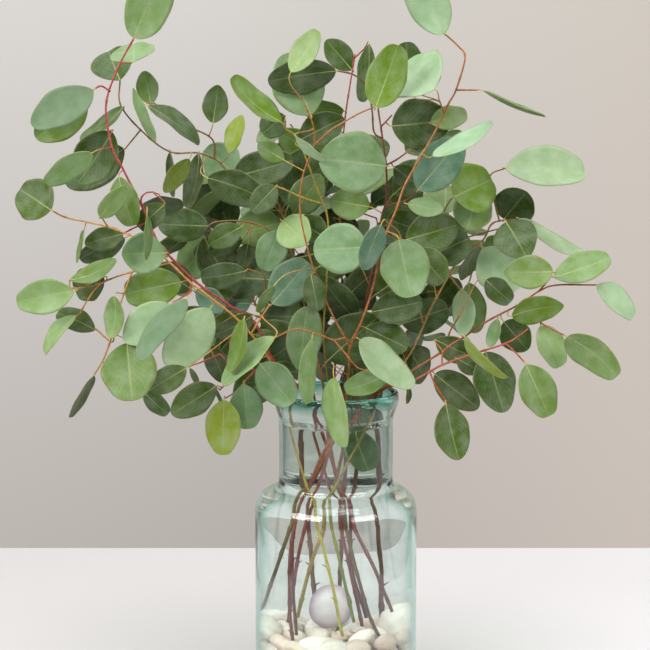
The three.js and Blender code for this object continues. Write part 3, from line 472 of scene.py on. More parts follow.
# %% The green branch at the right
add_branch(
    "branch_right",
    radius=(2.5, 1.4),
    bark=("#5C6A18", "#9A7A42", "#BE8648"),
    stem=[
        (16, 70, -50), (6, 118, -47), (-6, 180, -43), (0, 205, -42), (22, 250, -38),
        (32, 270, -32), (46, 300, -18), (75, 338, -2), (95, 382, 14), (115, 418, 26),
        (127, 437, 32), (147, 450, 40), (157, 467, 42), (180, 471, 46),
    ],
    twigs=[
        (-10, [(113, 416), (109, 440), (108, 475), (113, 488), (118, 494)]),
        (8, [(113, 416), (126, 400), (133, 408), (137, 422)]),
        (-8, [(127, 437), (130, 452), (131, 460)]),
        (-12, [(165, 469), (158, 490), (154, 514), (170, 522)]),
        (-16, [(86, 366), (78, 400), (66, 425), (64, 455), (54, 466)]),
    ],
    front=[
        (118, 493, 158, 512, 54, "bright"), (170, 522, 249, 519, 43, "mint"),
        (184, 471, 248, 433, 19, "mint"), (147, 442, 178, 398, 46, "mint"),
    ],
    middle=[
        (131, 460, 143, 500, 40, "grey"), (150, 440, 168, 452, 20, "mid"),
        (98, 435, 133, 452, 38, "dark"), (133, 407, 140, 357, 30, "mid"),
        (70, 450, 121, 465, 42, "deep"),
    ],
    back=[
        (168, 471, 190, 497, 42, "dark"), (170, 468, 190, 434, 44, "dark"),
        (112, 468, 128, 462, 14, "mid"),
    ],
)

# %% [markdown]
# ### The dark branch in the middle
# A dark red stem that carries the large round leaf in the heart of the crown.

# %% The dark branch in the middle
add_branch(
    "branch_centre_dark",
    radius=(2.5, 1.4),
    bark=("#401A18", "#7E4A38", "#AC6A42"),
    stem=[
        (20, 80, 24), (10, 140, 19), (14, 240, 24), (20, 330, 28), (28, 380, 28), (36, 420, 20),
        (45, 470, 8), (50, 490, 2), (50, 525, -6), (42, 582, -12),
    ],
    twigs=[
        (-4, [(47, 564), (56, 575)]),
        (-12, [(48, 553), (38, 558), (36, 580), (31, 603), (18, 615), (2, 619)]),
        (-14, [(51, 484), (62, 487), (72, 491), (82, 500)]),
        (-12, [(51, 524), (60, 530), (70, 537)]),
    ],
    front=[
        (50, 524, -17, 531, 62, "bluish"), (82, 500, 124, 550, 44, "teal"),
        (0, 619, -68, 608, 32, "dark"), (72, 486, 107, 480, 20, "bluish"),
    ],
    middle=[
        (56, 564, 113, 570, 50, "dark"), (70, 538, 98, 560, 34, "bluish"),
        (58, 523, 82, 505, 22, "dark"),
    ],
    back=[
        (50, 505, 88, 495, 40, "grey"), (100, 548, 126, 558, 14, "mid"),
        (14, 262, 24, 222, 24, "dark"),
    ],
)

# %% [markdown]
# ### The thin branch in the middle
# A thin stem with few leaves of its own.

# %% The thin branch in the middle
add_branch(
    "branch_centre_yellow",
    radius=(2.4, 1.3),
    bark=("#46340E", "#AC9440", "#BC9A48"),
    stem=[
        (-60, 78, 20), (-50, 88, 20), (-40, 128, 20), (-25, 190, 19), (-5, 250, 18),
        (-12, 350, 18), (-10, 400, 4), (-8, 468, -14), (-20, 505, -22), (-38, 550, -28),
        (-52, 562, -30),
    ],
    twigs=[
        (-6, [(-17, 486), (-32, 492), (-50, 500), (-60, 504)]),
    ],
    front=[
        (-55, 568, -105, 612, 24, "bright"),
    ],
    middle=[
        (-52, 575, -74, 556, 28, "dark"), (-62, 404, -79, 378, 9, "mid"),
        (-55, 418, -60, 388, 8, "mid"),
    ],
    back=[
        (-60, 504, -84, 478, 26, "dark"), (-10, 452, -38, 470, 30, "dark"),
    ],
)

# %% [markdown]
# ### The low branch at the left
# It lies on the left side of the rim, and its leaves hang beside the neck.

# %% The low branch at the left
add_branch(
    "branch_low_left",
    radius=(2.4, 1.3),
    bark=("#5E2424", "#B05A48", "#BC8048"),
    stem=[
        (20, 60, 6), (8, 140, 5), (-8, 220, 2), (-28, 302, 2), (-42, 312, 2), (-80, 320, -6),
        (-104, 326, -6), (-116, 336, -4),
    ],
    twigs=[
        (-8, [(-104, 326), (-108, 310), (-116, 300)]),
        (-14, [(-80, 320), (-90, 310), (-98, 300), (-110, 292)]),
        (10, [(-116, 336), (-134, 328), (-146, 324)]),
        (6, [(-104, 326), (-106, 346), (-100, 362), (-92, 374)]),
    ],
    front=[
        (-92, 306, -88, 261, 34, "bluish"), (-112, 290, -113, 235, 36, "lime"),
    ],
    middle=[
        (-120, 304, -165, 276, 32, "deep"), (-128, 346, -112, 308, 24, "olive"),
        (-36, 318, -72, 320, 22, "dark"), (-122, 304, -111, 278, 5, "dark"),
        (-98, 376, -126, 356, 22, "olive"),
    ],
    back=[
        (-54, 284, -88, 259, 26, "dark"), (-146, 322, -138, 304, 7, "dark"),
        (-80, 355, -58, 350, 16, "mid"), (-30, 304, -56, 298, 18, "dark"),
    ],
)

# %% [markdown]
# ### The rear branch at the left
# This one and the next two stand behind the others. Their leaves all grow by the rule below.

# %% The rear branch at the left
add_branch(
    "branch_rear_left",
    radius=(2.5, 1.4),
    bark=("#5C3424", "#8A5A3C", "#B08448"),
    stem=[
        (-10, 60, 36), (-18, 180, 38), (-20, 250, 38), (-24, 300, 36), (-58, 350, 76),
        (-88, 400, 104), (-104, 450, 120), (-110, 504, 126), (-104, 548, 124),
    ],
    twigs=[
        (26, [(-70, 370), (-104, 382), (-136, 392)]),
        (30, [(-88, 400), (-66, 430), (-56, 462)]),
        (-30, [(-104, 450), (-138, 462), (-164, 482)]),
    ],
)

# %% [markdown]
# ### The rear branch in the middle
# The straightest of the three at the back.

# %% The rear branch in the middle
add_branch(
    "branch_rear_middle",
    radius=(2.5, 1.4),
    bark=("#563224", "#84563C", "#B08448"),
    stem=[
        (0, 50, 50), (4, 180, 42), (6, 250, 40), (8, 300, 40), (10, 350, 84), (6, 410, 112),
        (0, 470, 126), (2, 530, 122), (6, 580, 112),
    ],
    twigs=[
        (34, [(10, 350), (-20, 366), (-44, 372)]),
        (26, [(8, 390), (36, 410), (60, 424)]),
        (-12, [(2, 520), (-24, 540), (-46, 566)]),
    ],
)

# %% [markdown]
# ### The rear branch at the right
# The last branch, which fills the crown behind the right half.

# %% The rear branch at the right
add_branch(
    "branch_rear_right",
    radius=(2.5, 1.4),
    bark=("#5C3424", "#8E623E", "#B08448"),
    stem=[
        (30, 60, 36), (26, 180, 33), (24, 250, 34), (26, 300, 36), (62, 345, 74), (92, 395, 98),
        (108, 445, 112), (114, 490, 114), (126, 530, 104),
    ],
    twigs=[
        (24, [(78, 372), (110, 378), (142, 392)]),
        (30, [(92, 395), (78, 430), (66, 468)]),
        (-24, [(108, 445), (136, 454), (166, 462)]),
    ],
)

# %% [markdown]
# ## Setting the leaves in space
# A drawing gives a leaf's place as seen, but not how deep it sits or how it turns. The CAD model
# settles both by rule: a leaf tries one depth after another until it stands clear of all the wood
# and blades before it. This cell repeats the CAD's own values, and the next ones its rules, so
# that every fine leaf lands on its plain one.

# %% The values of the rules
JAR_HEIGHT = 312
BODY_RADIUS = 82
NECK_RADIUS = 57.5
RIM_RADIUS = 63
WALL = 4
SHOULDER_TOP = 226
TWIG_RADIUS = (1.7, 1.3)
PETIOLE_RADIUS = 0.95
BLADE_CLEARANCE = 3.2
WOOD_CLEARANCE = 2
LAYER_DEPTH = {"front": -24, "middle": -3, "back": 18}
GIVE_WAY = (0, -7, 7, -14, 14, -21, 21, -30, 30, -40, 40, -52, 52, -66, 66)
TWIG_GIVE_WAY = (0, -8, 8, -16, 16, -24, 24, -34, 34)
LEAF_PROPORTION = 0.62
ROUND_PROPORTION = 0.9
STEEPEST_ROLL = 0.2
TURN_COST = 2.2
CROWN = {"across": (-8, 165), "up": (436, 118), "behind": (34, 178)}
CROWN_LEAF = {"spacing": 28, "length": (44, 62), "width": (0.66, 0.86), "reach": (8, 16)}
CROWN_TRIES = 10
BEAD_STEP = 4
print("a leaf has", len(GIVE_WAY) * 4, "places to try")

# %% [markdown]
# The draws are a small repeatable generator, so that each run gives the same branches. All sums
# wrap at 32 bits.


# %% Repeatable draws
def seeded(seed):
    state = [seed]
    wrap = 0xFFFFFFFF

    def draw():
        state[0] = (state[0] + 0x6D2B79F5) & wrap
        t = ((state[0] ^ (state[0] >> 15)) * (1 | state[0])) & wrap
        t = ((t + (((t ^ (t >> 7)) * (61 | t)) & wrap)) & wrap) ^ t
        return ((t ^ (t >> 14)) & wrap) / 4294967296

    return draw


def unit(line):
    return line / math.sqrt(line @ line)


trial = seeded(41)
print("first draws:", round(trial(), 6), round(trial(), 6))

# %% [markdown]
# Wood is kept as a row of beads, each with a place, a radius and the branch that owns it. Beads
# make the question "does this touch that" a matter of distances.


# %% Beads along a limb
def beads(points, start, end):
    places, radii = [], []
    spans = len(points) - 1
    for i in range(spans):
        run = points[i + 1] - points[i]
        steps = max(1, math.ceil(math.sqrt(run @ run) / BEAD_STEP))
        for k in range(steps):
            part = k / steps
            places.append(points[i] * (1 - part) + points[i + 1] * part)
            radii.append(start + (end - start) * ((i + part) / spans))
    places.append(points[spans])
    radii.append(end)
    return np.array(places), np.array(radii)


def near_glass(places, margin):
    out = np.hypot(places[:, 0], places[:, 1])
    up = places[:, 2]
    neck = (up > SHOULDER_TOP) & (out < RIM_RADIUS + margin)
    body = (up <= SHOULDER_TOP) & (out < BODY_RADIUS + margin)
    return (up <= JAR_HEIGHT + margin) & (out > NECK_RADIUS - WALL - margin) & (neck | body)


print("a place in the neck's wall is near the glass:", near_glass(np.array([[56, 0, 260]]), 2))

# %% [markdown]
# A blade lies along its axis. It arches from base to tip, and cups from the midrib to both edges.
# Its half width swells and closes as a bent sine, which gives the round, coin-like leaf of this
# eucalyptus.


# %% The plain blade
def lift(leaf, along, across):
    return leaf["arch"] * 4 * along * (1 - along) + leaf["cup"] * across * across


def half_width(leaf, along):
    swell = np.sin(np.pi * np.power(along, leaf["lean"]))
    return 0.5 * leaf["width"] * np.power(np.maximum(swell, 0), leaf["blunt"])


def on_blade(leaf, along, across):
    along, across = np.broadcast_arrays(np.asarray(along, float), np.asarray(across, float))
    flat = leaf["base"] + leaf["axis"] * (along * leaf["length"])[..., None]
    out = leaf["side"] * (across * half_width(leaf, along))[..., None]
    return flat + out + leaf["normal"] * lift(leaf, along, across)[..., None]


ALONG_PROBES = np.array([0.08, 0.22, 0.36, 0.5, 0.64, 0.78, 0.9, 1])
ACROSS_PROBES = np.array([-1, -0.5, 0, 0.5, 1])
print("a blade is probed at", len(ALONG_PROBES) * len(ACROSS_PROBES), "places")


# %% [markdown]
# The next functions ask whether places touch a blade, and whether a whole leaf with its petiole
# stands clear of everything set before it.


# %% Does it stand clear
def touches_blade(leaf, places, clearance):
    lines = places - leaf["base"]
    along = lines @ leaf["axis"] / leaf["length"]
    held = np.clip(along, 0.02, 0.98)
    half = half_width(leaf, held) + clearance
    out = lines @ leaf["side"]
    off = np.abs(lines @ leaf["normal"] - lift(leaf, held, out / half))
    beside = (along >= -clearance / leaf["length"]) & (along <= 1 + clearance / leaf["length"])
    return beside & (np.abs(out) <= half) & (off < clearance)


def gaps(these, those):
    return np.sqrt(((these[:, None, :] - those[None, :, :]) ** 2).sum(axis=2))


def stands_clear(leaf, wood, leaves):
    reach = leaf["length"] * 0.5 + 4
    stalk, thick = leaf["stalk"]
    if near_glass(leaf["probes"], 2).any() or near_glass(stalk, 2).any():
        return False
    close = np.sqrt(((wood["places"] - leaf["middle"]) ** 2).sum(axis=1)) < reach + WOOD_CLEARANCE
    if touches_blade(leaf, wood["places"][close], wood["radii"][close] + WOOD_CLEARANCE).any():
        return False
    foreign = wood["owners"] != leaf["owner"]
    room = wood["radii"][foreign][:, None] + thick[None, :] + WOOD_CLEARANCE
    if (gaps(wood["places"][foreign], stalk) < room).any():
        return False
    return all(clear_of(leaf, other, reach) for other in leaves)


def clear_of(leaf, other, reach):
    stalk, thick = leaf["stalk"]
    other_stalk, other_thick = other["stalk"]
    apart = other["middle"] - leaf["middle"]
    span = math.sqrt(apart @ apart)
    if span > 260:
        return True
    if span < reach + other["length"] * 0.5 + 4:
        if touches_blade(leaf, other["probes"], BLADE_CLEARANCE).any():
            return False
        if touches_blade(other, leaf["probes"], BLADE_CLEARANCE).any():
            return False
    if touches_blade(other, stalk, thick + WOOD_CLEARANCE).any():
        return False
    if touches_blade(leaf, other_stalk, other_thick + WOOD_CLEARANCE).any():
        return False
    if other["owner"] == leaf["owner"]:
        return True
    return not (gaps(stalk, other_stalk) < thick[:, None] + other_thick[None] + WOOD_CLEARANCE).any()


print("leaves keep", BLADE_CLEARANCE, "mm apart")


# %% [markdown]
# A leaf takes root on the bead that lies nearest to its base as seen, and rather behind it than
# beside it, so that its petiole runs on into the midrib. Then the leaf is turned about its axis
# and tilted towards or from the eye until it shows the width and length that were drawn.


# %% Where a leaf takes root
def nearest_bead(own, across, up, way=None):
    beads_across, beads_up = seen(own["places"])
    line_across = across - beads_across
    line_up = up - beads_up
    gap = np.sqrt(line_across * line_across + line_up * line_up)
    cost = gap
    if way is not None:
        run = math.sqrt(way[0] * way[0] + way[1] * way[1])
        turn = (line_across * way[0] + line_up * way[1]) / (run * np.maximum(gap, 1))
        cost = gap * (TURN_COST - turn)
    best = int(np.argmin(cost))
    return own["places"][best], own["radii"][best]


def draw_leaf(draw):
    arch = (0.02 + 0.07 * draw()) * (-1 if draw() < 0.7 else 1)
    cup = 0.03 + 0.08 * draw()
    lean = 0.82 + 0.22 * draw()
    blunt = 0.56 + 0.16 * draw()
    roll = -1 if draw() < 0.5 else 1
    slope = -1 if draw() < 0.6 else 1
    return {"arch": arch, "cup": cup, "lean": lean, "blunt": blunt, "roll": roll, "slope": slope}


def leaf_at(root, base, reach, across, length, width, draws, owner):
    axis = unit(reach)
    side = unit(across - axis * (across @ axis))
    leaf = {
        "owner": owner, "root": root, "base": base, "axis": axis, "side": side,
        "normal": np.cross(axis, side), "length": length, "width": width,
        "arch": draws["arch"] * length, "cup": draws["cup"] * width,
        "lean": draws["lean"], "blunt": draws["blunt"],
    }
    leaf["middle"] = base + axis * (length * 0.5)
    grid = on_blade(leaf, ALONG_PROBES[:, None], ACROSS_PROBES[None, :])
    leaf["probes"] = grid.reshape(-1, 3)
    leaf["stalk"] = beads([root * 0.85 + base * 0.15, base], PETIOLE_RADIUS, PETIOLE_RADIUS)
    return leaf


print("a leaf takes", len(draw_leaf(trial)), "traits from the draws")


# %% A drawn leaf and a hidden one
def drawn_leaf(row, depth, roll, slope, branch, draws):
    across, up, tip_across, tip_up, seen_width, tone = row
    way = (tip_across - across, tip_up - up)
    root, _ = nearest_bead(branch["own"], across, up, way)
    base = sighted(across, up, root[1] + depth)
    flat = sighted(tip_across, tip_up, base[1]) - base
    scale = math.sqrt((base - EYE) @ (base - EYE)) / EYE_DISTANCE
    shown_width = seen_width * scale
    shown_length = math.sqrt(flat @ flat)
    length = max(shown_length, shown_width / ROUND_PROPORTION)
    fall = math.sqrt(max(length * length - shown_length * shown_length, 0))
    tip = sighted(tip_across, tip_up, base[1] + slope * fall)
    width = max(shown_width, LEAF_PROPORTION * length)
    face = max(shown_width / width, STEEPEST_ROLL)
    axis = unit(tip - base)
    level = unit(np.cross(axis, LOOK))
    toward = np.cross(axis, level)
    side = level * face + toward * (math.sqrt(1 - face * face) * roll)
    leaf = leaf_at(root, base, axis, side, length, width, draws, branch["name"])
    leaf["tone"] = tone
    return leaf


def hidden_leaf(root, radius, owner, draw):
    draws = draw_leaf(draw)
    heart = np.array([CROWN["across"][0], -20, CROWN["up"][0] - 60])
    stray = np.array([draw() * 2 - 1, draw() * 2 - 0.7, draw() * 2 - 1.1])
    way = unit(unit(root - heart) * 0.7 + stray * 0.8)
    length = CROWN_LEAF["length"][0] + (CROWN_LEAF["length"][1] - CROWN_LEAF["length"][0]) * draw()
    share = CROWN_LEAF["width"][0] + (CROWN_LEAF["width"][1] - CROWN_LEAF["width"][0]) * draw()
    petiole = CROWN_LEAF["reach"][0] + (CROWN_LEAF["reach"][1] - CROWN_LEAF["reach"][0]) * draw()
    base = root + way * (petiole + radius)
    across = unit(np.array([draw() * 2 - 1, draw() * 2 - 1, draw() - 0.5]))
    reach = way + np.array([0, 0, -0.3])
    return leaf_at(root, base, reach, across, length, length * share, draws, owner)


def inside_crown(places, crown=CROWN):
    across, up = seen(places)
    x = (across - crown["across"][0]) / crown["across"][1]
    z = (up - crown["up"][0]) / crown["up"][1]
    behind = (places[..., 1] > crown["behind"][0]) & (places[..., 1] < crown["behind"][1])
    return (x * x + z * z < 1) & behind


print("the crown is", 2 * CROWN["across"][1], "mm across")

# %% [markdown]
# The wood of all branches is set out first. A twig that would touch another branch leans a little
# more or less until it doesn't.


# %% Set out the wood
def joined(wood, places, radii, owner):
    owners = np.array([owner] * len(radii), dtype=object)
    if wood is None:
        return {"places": places, "radii": radii, "owners": owners}
    return {
        "places": np.vstack([wood["places"], places]),
        "radii": np.concatenate([wood["radii"], radii]),
        "owners": np.concatenate([wood["owners"], owners]),
    }


def set_out_twig(lean, path, branch, own, wood):
    root, _ = nearest_bead(own, *path[0])
    steps = len(path) - 1
    foreign = wood["owners"] != branch["name"]
    others = wood["places"][foreign]
    best = None
    for give in TWIG_GIVE_WAY:
        points = [root]
        for i, (across, up) in enumerate(path[1:]):
            points.append(sighted(across, up, root[1] + (lean + give) * (i + 1) / steps))
        places, radii = beads(points, *TWIG_RADIUS)
        room = wood["radii"][foreign][:, None] + radii[None, :] + WOOD_CLEARANCE
        clear = not (gaps(others, places) <= room).any() if foreign.any() else True
        if clear or best is None:
            best = (points, places, radii)
        if clear:
            break
    return best


def set_out_wood(branch, wood):
    name = branch["name"]
    stem = [sighted(*point) for point in branch["stem"]]
    own = joined(None, *beads(stem, *branch["radius"]), name)
    wood = joined(wood, own["places"], own["radii"], name)
    limbs = [{"points": stem, "radius": branch["radius"]}]
    for lean, path in branch["twigs"]:
        points, places, radii = set_out_twig(lean, path, branch, own, wood)
        limbs.append({"points": points, "radius": TWIG_RADIUS})
        own = joined(own, places, radii, name)
        wood = joined(wood, places, radii, name)
    return {"name": name, "bark": branch["bark"], "limbs": limbs, "own": own, "leaves": []}, wood


grown = []
wood = None
for branch in BRANCHES:
    set_out, wood = set_out_wood(branch, wood)
    grown.append(set_out)
print("beads of wood:", len(wood["radii"]))

# %% [markdown]
# Now the leaves: the drawn ones from the front layer to the back, then those that the front view
# doesn't show, spaced along the wood at the back of the crown.


# %% Set out the leaves
def first_clear(row, depth, branch, draws, leaves):
    for give in GIVE_WAY:
        for roll, slope in ((1, 1), (-1, 1), (1, -1), (-1, -1)):
            leaf = drawn_leaf(
                row, depth + give, roll * draws["roll"], slope * draws["slope"], branch, draws,
            )
            if stands_clear(leaf, wood, leaves):
                return leaf
    return None


draw = seeded(41)
leaves = []
for layer, depth in LAYER_DEPTH.items():
    for branch, plant in zip(BRANCHES, grown):
        for row in branch[layer]:
            leaf = first_clear(row, depth, plant, draw_leaf(draw), leaves)
            if leaf is not None:
                plant["leaves"].append(leaf)
                leaves.append(leaf)
drawn_count = len(leaves)

HIDDEN_TONES = ("dark", "deep", "mid", "bluish", "teal", "grey", "mid", "bluish")
for plant in grown:
    roots = np.flatnonzero(inside_crown(plant["own"]["places"]))
    for root in roots[::round(CROWN_LEAF["spacing"] / BEAD_STEP)]:
        place, radius = plant["own"]["places"][root], plant["own"]["radii"][root]
        for _ in range(CROWN_TRIES):
            leaf = hidden_leaf(place, radius, plant["name"], draw)
            if not inside_crown(leaf["middle"]) or not stands_clear(leaf, wood, leaves):
                continue
            leaf["tone"] = HIDDEN_TONES[len(leaves) % len(HIDDEN_TONES)]
            plant["leaves"].append(leaf)
            leaves.append(leaf)
            break
print("leaves drawn and set:", drawn_count, "hidden ones:", len(leaves) - drawn_count)

# %% [markdown]
# ## Filling the crown
# The real branches are thick with leaves deep inside, which show dark between the nearer ones because they
# lie in the crown's shade. The CAD model leaves most of those out. They are set here by the same rules,
# turned broadly to the front, wherever they still stand clear. Their dark tones are painted shade, added to
# the shade that the crown casts.

# %% Leaves deep inside
HEART = {"across": (-20, 148), "up": (425, 138), "behind": (2, 140)}
# Dark tones for the inner leaves: painted shade of the crown's inside.
FILL_SHADE_TONES = ("dark", "olive", "deep", "dark", "mid", "deep", "grey")
FILL_SPACING = 9
FILL_TRIES = 7
FILL_LIMIT = 150


def filling_leaf(root, radius, owner, draw):
    draws = draw_leaf(draw)
    way = unit(np.array([draw() * 2 - 1, draw() * 1.2 - 0.3, draw() * 2 - 0.9]))
    length = 42 + 24 * draw()
    base = root + way * (9 + 9 * draw() + radius)
    across = unit(np.array([-way[2], 0.7 * (draw() * 2 - 1), way[0]]))
    reach = way + np.array([0, 0, -0.25])
    share = 0.68 + 0.2 * draw()
    return leaf_at(root, base, reach, across, length, length * share, draws, owner)


draw = seeded(67)
placed_count = len(leaves)
for plant in grown:
    roots = np.flatnonzero(inside_crown(plant["own"]["places"], HEART))
    for root in roots[::round(FILL_SPACING / BEAD_STEP)]:
        if len(leaves) - placed_count >= FILL_LIMIT:
            break
        place, radius = plant["own"]["places"][root], plant["own"]["radii"][root]
        for _ in range(FILL_TRIES):
            leaf = filling_leaf(place, radius, plant["name"], draw)
            if not inside_crown(leaf["middle"], HEART) or not stands_clear(leaf, wood, leaves):
                continue
            leaf["tone"] = FILL_SHADE_TONES[len(leaves) % len(FILL_SHADE_TONES)]
            plant["leaves"].append(leaf)
            leaves.append(leaf)
            break
print("filling leaves:", len(leaves) - placed_count)

# %% [markdown]
# ## Limbs
# A stem, a twig and a petiole are all round limbs along a path. A curve object with a bevel would
# do, but a limb here also carries its own colours from foot to tip. So a circle is extruded ring
# by ring along the path, and each new ring is carried on by one matrix.


# %% A smooth path
def smooth_path(points, step):
    points = [np.asarray(point, float) for point in points]
    before = [points[0] * 2 - points[1], *points, points[-1] * 2 - points[-2]]
    path = []
    for p0, p1, p2, p3 in zip(before, before[1:], before[2:], before[3:]):
        run = p2 - p1
        steps = max(1, round(math.sqrt(run @ run) / step))
        for k in range(steps):
            t = k / steps
            curve = 2 * p1 + (p2 - p0) * t + (2 * p0 - 5 * p1 + 4 * p2 - p3) * t * t
            path.append(0.5 * (curve + (3 * p1 - p0 - 3 * p2 + p3) * t ** 3))
    path.append(points[-1])
    return np.array(path)


def blend(a, b, t):
    t = np.clip(t, 0, 1)[..., None]
    return np.asarray(a) * (1 - t) + np.asarray(b) * t


print("points on a path of 30 mm:", len(smooth_path([(0, 0, 0), (0, 0, 15), (0, 0, 30)], 5)))


# %% A limb along a path
def new_part(*layers):
    bm = bmesh.new()
    kinds = {"tone": bm.verts.layers.float_color, "blade": bm.verts.layers.float_vector}
    return bm, *(kinds[layer].new(layer) for layer in layers)


def limb_part(path, radii, tones, sides):
    bm, tone_layer = new_part("tone")
    ways = np.gradient(path, axis=0)
    side = np.cross(ways[0], (0.3, 1, 0.2))
    stations = []
    for place, way, radius in zip(path, ways, radii):
        way = unit(way)
        side = unit(side - way * (side @ way))
        other = np.cross(way, side)
        station = Matrix((side * radius * MM, other * radius * MM, way * radius * MM)).transposed()
        stations.append(Matrix.Translation(Vector(place * MM)) @ station.to_4x4())
    ring = bmesh.ops.create_circle(
        bm, cap_ends=True, segments=sides, radius=1, matrix=stations[0],
    )["verts"]
    edges = list({edge for vert in ring for edge in vert.link_edges})
    for vert in ring:
        vert[tone_layer] = tones[0]
    for last, station, tone in zip(stations, stations[1:], tones[1:]):
        made = bmesh.ops.extrude_edge_only(bm, edges=edges)["geom"]
        ring = {item for item in made if isinstance(item, bmesh.types.BMVert)}
        edges = [
            item for item in made
            if isinstance(item, bmesh.types.BMEdge) and set(item.verts) <= ring
        ]
        bmesh.ops.transform(bm, matrix=station @ last.inverted(), verts=list(ring))
        for vert in ring:
            vert[tone_layer] = tone
    bmesh.ops.contextual_create(bm, geom=edges)
    bmesh.ops.recalc_face_normals(bm, faces=bm.faces)
    return bm


print("a limb's ring is carried on by one matrix a step")

# %% [markdown]
# ## Fine leaves
# The real blade is a thin leathery disc, a little wavy at its margin, creased along the midrib,
# and never quite even. Many a tip is blunt, and some are pointed. Each blade starts as a grid.
# Its rows run along the blade and are closer at both ends, and its columns fan out to the
# margin. The Solidify modifier then gives it thickness.

# %% How a fine blade differs from the plain one
BLADE_ROWS = 18
BLADE_COLUMNS = 12
BLADE_THICKNESS = 0.5
BLUNT_TIP = (0.5, 0.95)
CREASE_DEPTH = 0.016
CREASE_WIDTH = 0.16
RIPPLE = 0.016
OUTLINE_WAVE = 0.018
TIP_CURL = 0.05


def draw_traits(draw):
    return {
        "ripple": RIPPLE * (0.5 + draw()), "phases": (draw(), draw(), draw(), draw()),
        "curl": TIP_CURL * (2 * draw() - 1), "shade": 0.93 + 0.14 * draw(), "warmth": draw() - 0.5,
        "seed": draw(), "tip": BLUNT_TIP[0] + (BLUNT_TIP[1] - BLUNT_TIP[0]) * draw() ** 2,
    }


def fine_blade(leaf, traits, along, across):
    wave = np.where(across < 0, traits["phases"][0], traits["phases"][1])
    fullness = half_width(leaf, along) / (0.5 * leaf["width"])
    rounder = 1 - (1 - traits["tip"]) * np.clip(2 * along - 1, 0, 1)
    fullness = np.power(fullness, rounder)
    half = 0.5 * leaf["width"] * fullness
    half = half * (1 + OUTLINE_WAVE * np.sin(2 * np.pi * (2.3 * along + wave)))
    swing = np.where(across < 0, traits["phases"][2], traits["phases"][3])
    off = leaf["arch"] * 4 * along * (1 - along) + leaf["cup"] * across ** 2 * fullness
    off = off - CREASE_DEPTH * leaf["width"] * fullness * np.exp(-(across / CREASE_WIDTH) ** 2)
    off = off + traits["ripple"] * leaf["width"] * fullness * np.abs(across) ** 3 * np.sin(
        2 * np.pi * (1.7 * along + swing))
    off = off + traits["curl"] * leaf["length"] * np.maximum(along - 0.6, 0) ** 2 * 4
    flat = leaf["base"] + leaf["axis"] * (along * leaf["length"])[..., None]
    return flat + leaf["side"] * (across * half)[..., None] + leaf["normal"] * off[..., None]


draw = seeded(7)
for leaf in leaves:
    leaf["traits"] = draw_traits(draw)
print("leaves with traits of their own:", len(leaves))

# %% [markdown]
# The tones were named leaf by leaf after the light on the real branches: young leaves are lime, old ones
# deep green, and the waxy bloom turns many of them bluish or mint. The dark, deep and olive tones are
# partly that deep green and partly painted shade, for leaves that lie back in the crown's shadow. Each leaf
# then varies a little in shade and warmth, at random.

# %% Leaf tones
# The dark, deep and olive tones hold painted shade as well as the leaves' own green.
TONES = {
    "mint": "#B0CCA6", "bluish": "#8AA97A", "teal": "#6A8D74", "grey": "#85A163",
    "light": "#A0BD82", "bright": "#77973F", "mid": "#749050", "deep": "#526B2C",
    "dark": "#455F22", "olive": "#46591A", "lime": "#9AAF55",
}


def leaf_tone(leaf):
    red, green, blue, alpha = linear(TONES[leaf["tone"]])
    shade, warmth = leaf["traits"]["shade"], 0.08 * leaf["traits"]["warmth"]
    return (red * shade * (1 + warmth), green * shade, blue * shade * (1 - warmth), alpha)


print("tones:", ", ".join(TONES))


# %% One blade
def blade_part(leaf):
    bm, tone_layer, blade_layer = new_part("tone", "blade")
    verts = bmesh.ops.create_grid(
        bm, x_segments=BLADE_ROWS, y_segments=BLADE_COLUMNS, size=1,
    )["verts"]
    flat = np.array([vert.co for vert in verts])
    along = 0.5 - 0.5 * np.cos(np.pi * (flat[:, 0] + 1) / 2)
    across = flat[:, 1]
    places = fine_blade(leaf, leaf["traits"], along, across) * MM
    tone, seed = leaf_tone(leaf), leaf["traits"]["seed"]
    for vert, place, a, c in zip(verts, places, along, across):
        vert.co = place
        vert[tone_layer] = tone
        vert[blade_layer] = (a, c, seed)
    ends = [vert for vert, a in zip(verts, along) if a < 1e-6 or a > 1 - 1e-6]
    bmesh.ops.remove_doubles(bm, verts=ends, dist=1e-6)
    return bm


print("a blade has", BLADE_ROWS * BLADE_COLUMNS, "quads before it gets its thickness")

# %% [markdown]
# ## The leaf's surface
# Silver-dollar eucalyptus has a leathery leaf under a thin wax bloom, which scatters light softly,
# so the leaf is matt with a faint sheen. The eye sees a pale midrib, side veins that fan out to
# the margin, a fine reddish margin, and blotches where the wax has rubbed off. A thin blade also
# lets light through, so some Translucent shader is mixed in. The pattern follows the blade by its
# own attribute, which holds how far along and across each place lies.

# %% Waxy leaf
leaf_skin = new_material("waxy_leaf")
tone = add_node(leaf_skin, "ShaderNodeAttribute", {"attribute_name": "tone"})
blade = add_node(leaf_skin, "ShaderNodeAttribute", {"attribute_name": "blade"})
split = add_node(leaf_skin, "ShaderNodeSeparateXYZ", Vector=blade.outputs["Vector"])
spot = add_node(leaf_skin, "ShaderNodeTexCoord")

